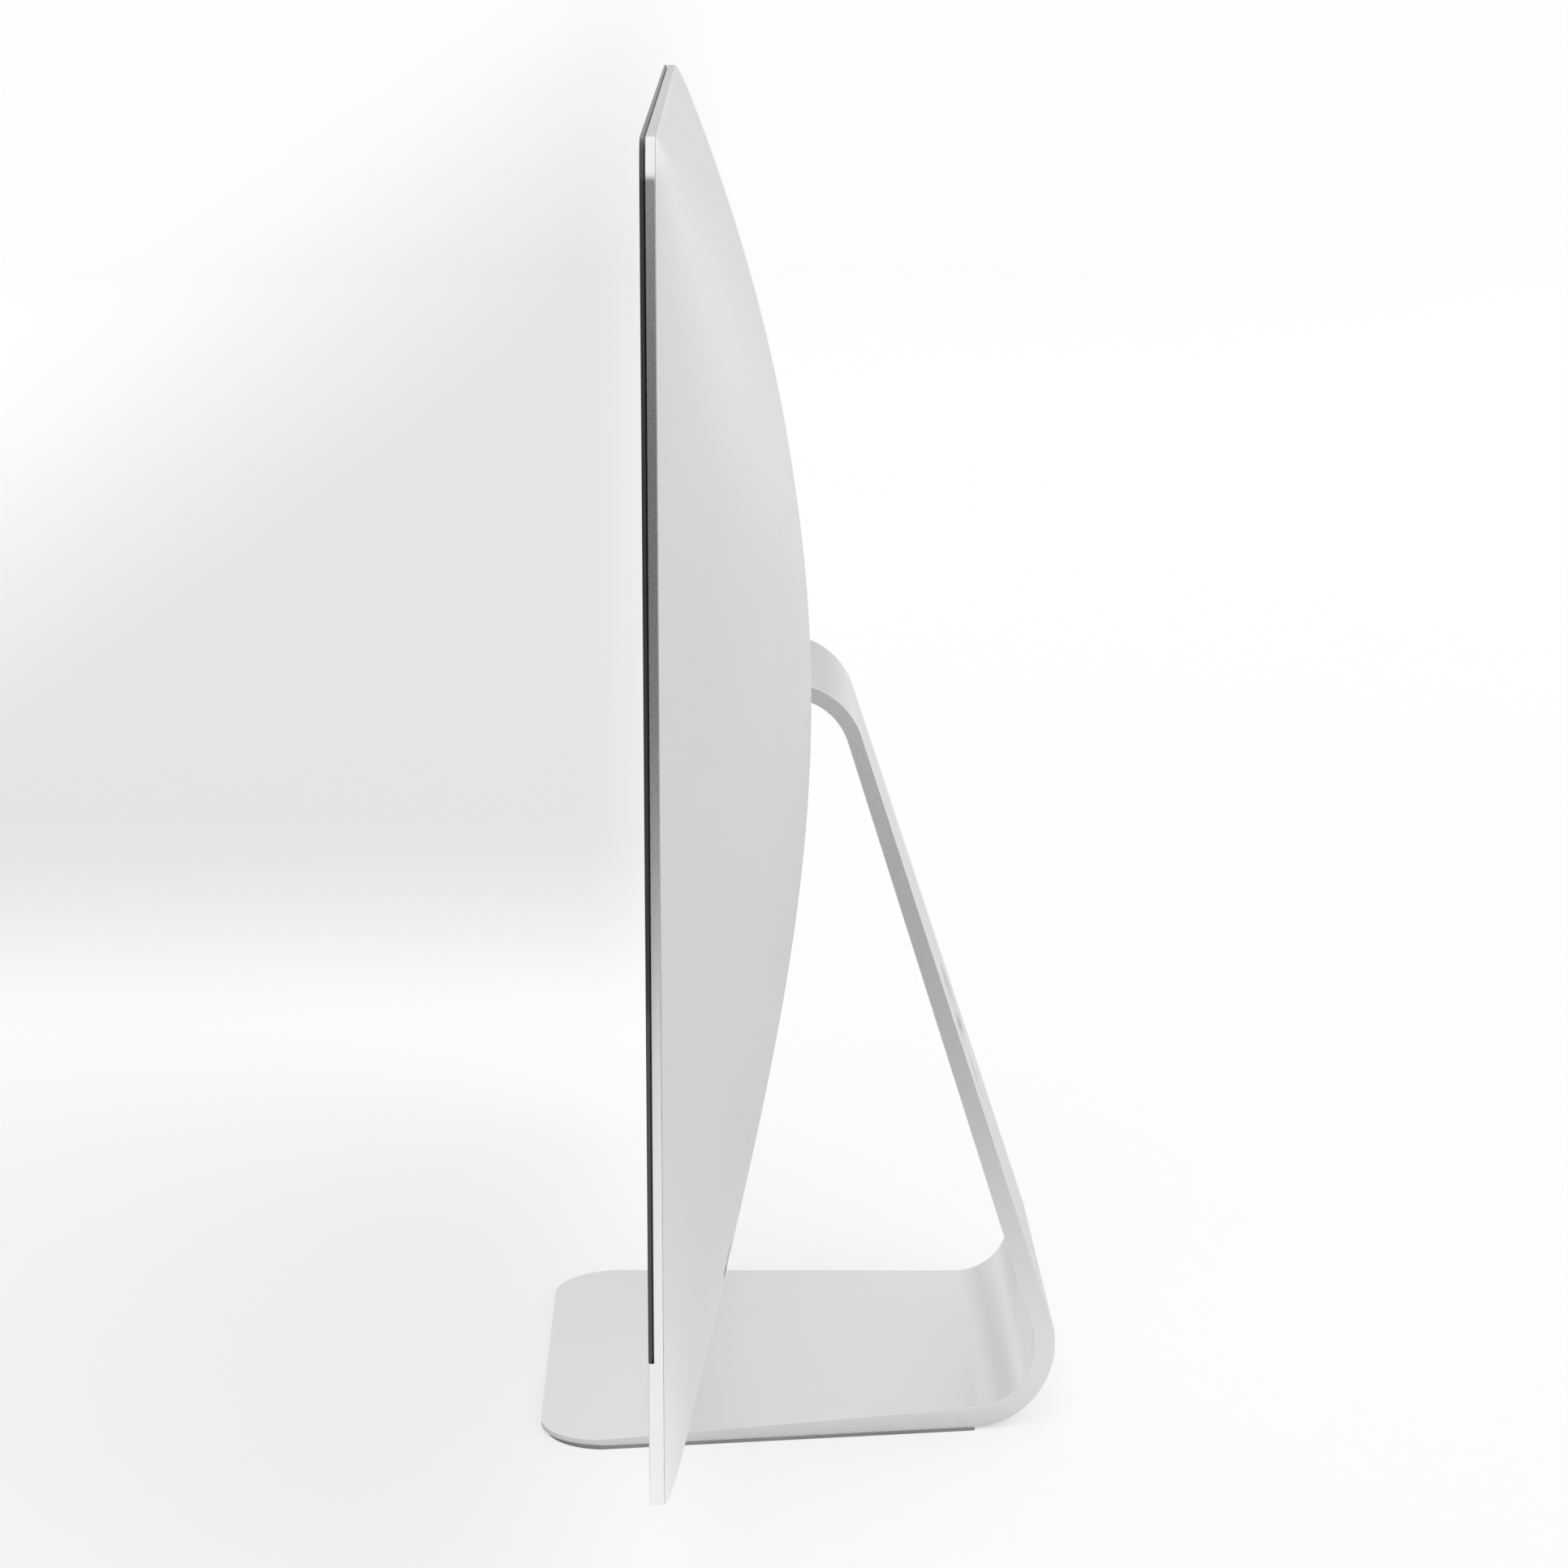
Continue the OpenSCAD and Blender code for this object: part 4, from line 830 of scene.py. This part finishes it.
def shade_zone(tree, place):
    """How much of the faint shade beyond the glass lies on each point of the floor, from 0 to 1."""
    reach = tree.maths("SUBTRACT", VIEW_X, place["X"])
    side = tree.maths("DIVIDE", tree.maths("ADD", place["Y"], -VIEW_Y), reach)
    depth = tree.maths("DIVIDE", VIEW_Z, reach)
    slant = 0.736
    rise = tree.maths("ADD", depth, tree.maths("MULTIPLY", side, slant))
    upper = tree.soft(rise, 0, 1, -0.035, 0.086)
    lower = tree.soft(depth, 1, 0, 0.226, 0.288)
    beside_glass = tree.soft(side, 1, 0, -0.036, 0.006)
    return tree.maths("MULTIPLY", tree.maths("MULTIPLY", upper, lower), beside_glass)


def make_floor():
    """A wide pale floor: it lights softly, keeps a light shadow and is seen as white paper."""
    paper, bright_paper, seen_paper = (0.63, 0.63, 0.632), (0.95, 0.95, 0.95), (0.36, 0.36, 0.36)
    plain, shaded = (1.0, 1.0, 1.0), (0.655, 0.625, 0.648)
    seen_glow = 0.592
    floor = box_solid("floor", (-40000, 40000), (-40000, 40000), (-20, 0))
    tree = Nodes("floor_paper")
    shader = tree.shader
    place = tree.axes()
    seen = tree.add("ShaderNodeLightPath").outputs["Is Camera Ray"]
    # the paper throws more light from a broad strip beside the object, towards +X
    strip = tree.maths("MULTIPLY", tree.soft(place["X"], 0, 1, 0.04, 0.22),
                       tree.soft(tree.maths("ABSOLUTE", place["Y"]), 1, 0, 0.14, 0.42))
    tree.join(tree.mix(seen, tree.ramp(strip, paper, bright_paper, 0, 1), seen_paper),
              shader.inputs["Base Color"])
    tree.join(tree.spread(tree.noise(0.9, 2.0), 0.88, 0.94), shader.inputs["Roughness"])
    shader.inputs["Specular IOR Level"].default_value = 0.1
    tree.join(tree.ramp(shade_zone(tree, place), plain, shaded, 0, 1),
              shader.inputs["Emission Color"])
    tree.join(tree.spread(seen, 0.0, seen_glow, 0.0, 1.0), shader.inputs["Emission Strength"])
    dress(floor, tree.material)


def mirrored_only(piece, material):
    """Makes a stage piece that only mirroring surfaces see: it throws no shadow and no light."""
    dress(piece, material)
    piece.visible_camera = False
    piece.visible_shadow = False
    piece.visible_diffuse = False


def make_card():
    """A dark card and a low wall on the right, mirrored by the polished side edge."""
    near, far, half = 1230, 4200, 2600
    wall_x, wall_t, wall_top = 3600, 20, 1000
    card = box_solid("dark_card", (near, far), (-half, half), (2, 4))
    wall = box_solid("dark_wall", (wall_x, wall_x + wall_t), (-half, half), (4, wall_top))
    dark = Nodes("card_dark")
    dark.join(dark.ramp(dark.noise(2.0), (0.022, 0.022, 0.024), (0.038, 0.038, 0.038)),
              dark.shader.inputs["Base Color"])
    fading = Nodes("wall_dark")
    upwards = fading.soft(fading.axes()["Z"], 0, 1, 0.3, 1.05)
    fading.join(fading.ramp(upwards, (0.03, 0.03, 0.03), (0.95, 0.95, 0.95), 0, 1),
                fading.shader.inputs["Base Color"])
    mirrored_only(card, dark.material)
    mirrored_only(wall, fading.material)


def make_far_wall():
    """A soft grey wall far off on the left, seen only in reflections: it dims the foot's top."""
    near, wall_t, half, top = -5000, 20, 5000, 4600
    grey, white = (0.42, 0.42, 0.42), (0.98, 0.98, 0.98)
    wall = box_solid("far_wall", (near - wall_t, near), (-half, half), (4, top))
    tree = Nodes("wall_grey")
    place = tree.axes()
    across = tree.soft(tree.maths("ABSOLUTE", place["Y"]), 0, 1, 0.8, 2.6)
    light = tree.maths("MAXIMUM", across, tree.soft(place["Z"], 0, 1, 1.0, 2.8))
    tree.join(tree.ramp(light, grey, white, 0, 1), tree.shader.inputs["Emission Color"])
    tree.shader.inputs["Emission Strength"].default_value = 1.0
    tree.shader.inputs["Base Color"].default_value = (0, 0, 0, 1)
    tree.shader.inputs["Specular IOR Level"].default_value = 0.0
    mirrored_only(wall, tree.material)


def soft_sun(name, direction, strength, spread):
    """A sun with a disc of spread degrees, so that its shadows are soft and the floor is even."""
    lamp = bpy.data.lights.new(name, "SUN")
    lamp.energy = strength
    lamp.angle = math.radians(spread)
    holder = bpy.data.objects.new(name, lamp)
    holder.rotation_euler = Vector(direction).to_track_quat("Z", "Y").to_euler()
    # metal mirrors the white room and not the lamp, so no face burns out
    holder.visible_glossy = False
    bpy.context.scene.collection.objects.link(holder)


def make_world():
    """An even white room: full white where it is seen or mirrored, softer where it lights."""
    lit_level, seen_level = 0.62, 0.98
    world = bpy.data.worlds.new("studio")
    bpy.context.scene.world = world
    world.use_nodes = True
    tree = world.node_tree
    background = tree.nodes["Background"]
    background.inputs["Color"].default_value = (1, 1, 1, 1)
    path = tree.nodes.new("ShaderNodeLightPath")
    seen = tree.nodes.new("ShaderNodeMath")
    seen.operation = "MAXIMUM"
    tree.links.new(path.outputs["Is Camera Ray"], seen.inputs[0])
    tree.links.new(path.outputs["Is Glossy Ray"], seen.inputs[1])
    both = tree.nodes.new("ShaderNodeMath")
    both.operation = "MAXIMUM"
    tree.links.new(seen.outputs[0], both.inputs[0])
    tree.links.new(path.outputs["Is Transmission Ray"], both.inputs[1])
    level = tree.nodes.new("ShaderNodeMapRange")
    level.inputs["To Min"].default_value = lit_level
    level.inputs["To Max"].default_value = seen_level
    tree.links.new(both.outputs[0], level.inputs["Value"])
    tree.links.new(level.outputs["Result"], background.inputs["Strength"])


def make_camera():
    """The viewing angle: from the right side, a little above, with a long lens."""
    place, yaw, pitch = (1.5363, -0.0314, 0.5798), 0.01774, 0.21582
    lens = bpy.data.cameras.new("camera")
    lens.sensor_width = 36.0
    lens.lens = 90.06
    lens.clip_end = 100.0
    holder = bpy.data.objects.new("camera", lens)
    holder.location = place
    forward = Vector((-math.cos(pitch) * math.cos(yaw), math.cos(pitch) * math.sin(yaw),
                      -math.sin(pitch)))
    right = Vector((forward.y, -forward.x, 0)).normalized()
    up = right.cross(forward)
    holder.rotation_euler = Matrix((right, up, -forward)).transposed().to_euler()
    bpy.context.scene.collection.objects.link(holder)
    bpy.context.scene.camera = holder


# ---- assembly ----

make_camera()
make_world()
soft_sun("top_light", direction=(0.25, 0.35, 1.0), strength=1.2, spread=90)
soft_sun("back_light", direction=(0.3, 1.0, 0.62), strength=0.44, spread=60)
make_floor()
make_card()
make_far_wall()

finishes = make_materials()
dress_nodes(finishes)

for piece, finish, body, slot in (
    (make_skin(), "satin", "head", "aluminium_body"),
    (make_door(), "satin", "memory_door", "aluminium_body"),
    (make_button(), "cap", "power_button", "aluminium_body"),
    (make_stand(), "plate", "stand", "aluminium_body"),
    (make_glass(), "glass", "head", "black_glass"),
    (make_band(), "edge", "head", "aluminium_body"),
):
    dress(piece, finishes[finish])
    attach(piece, body)

for piece in make_lens():
    dress(piece, finishes["lens"])
    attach(piece, "head")

settings = bpy.context.scene.view_settings
settings.view_transform = "Standard"
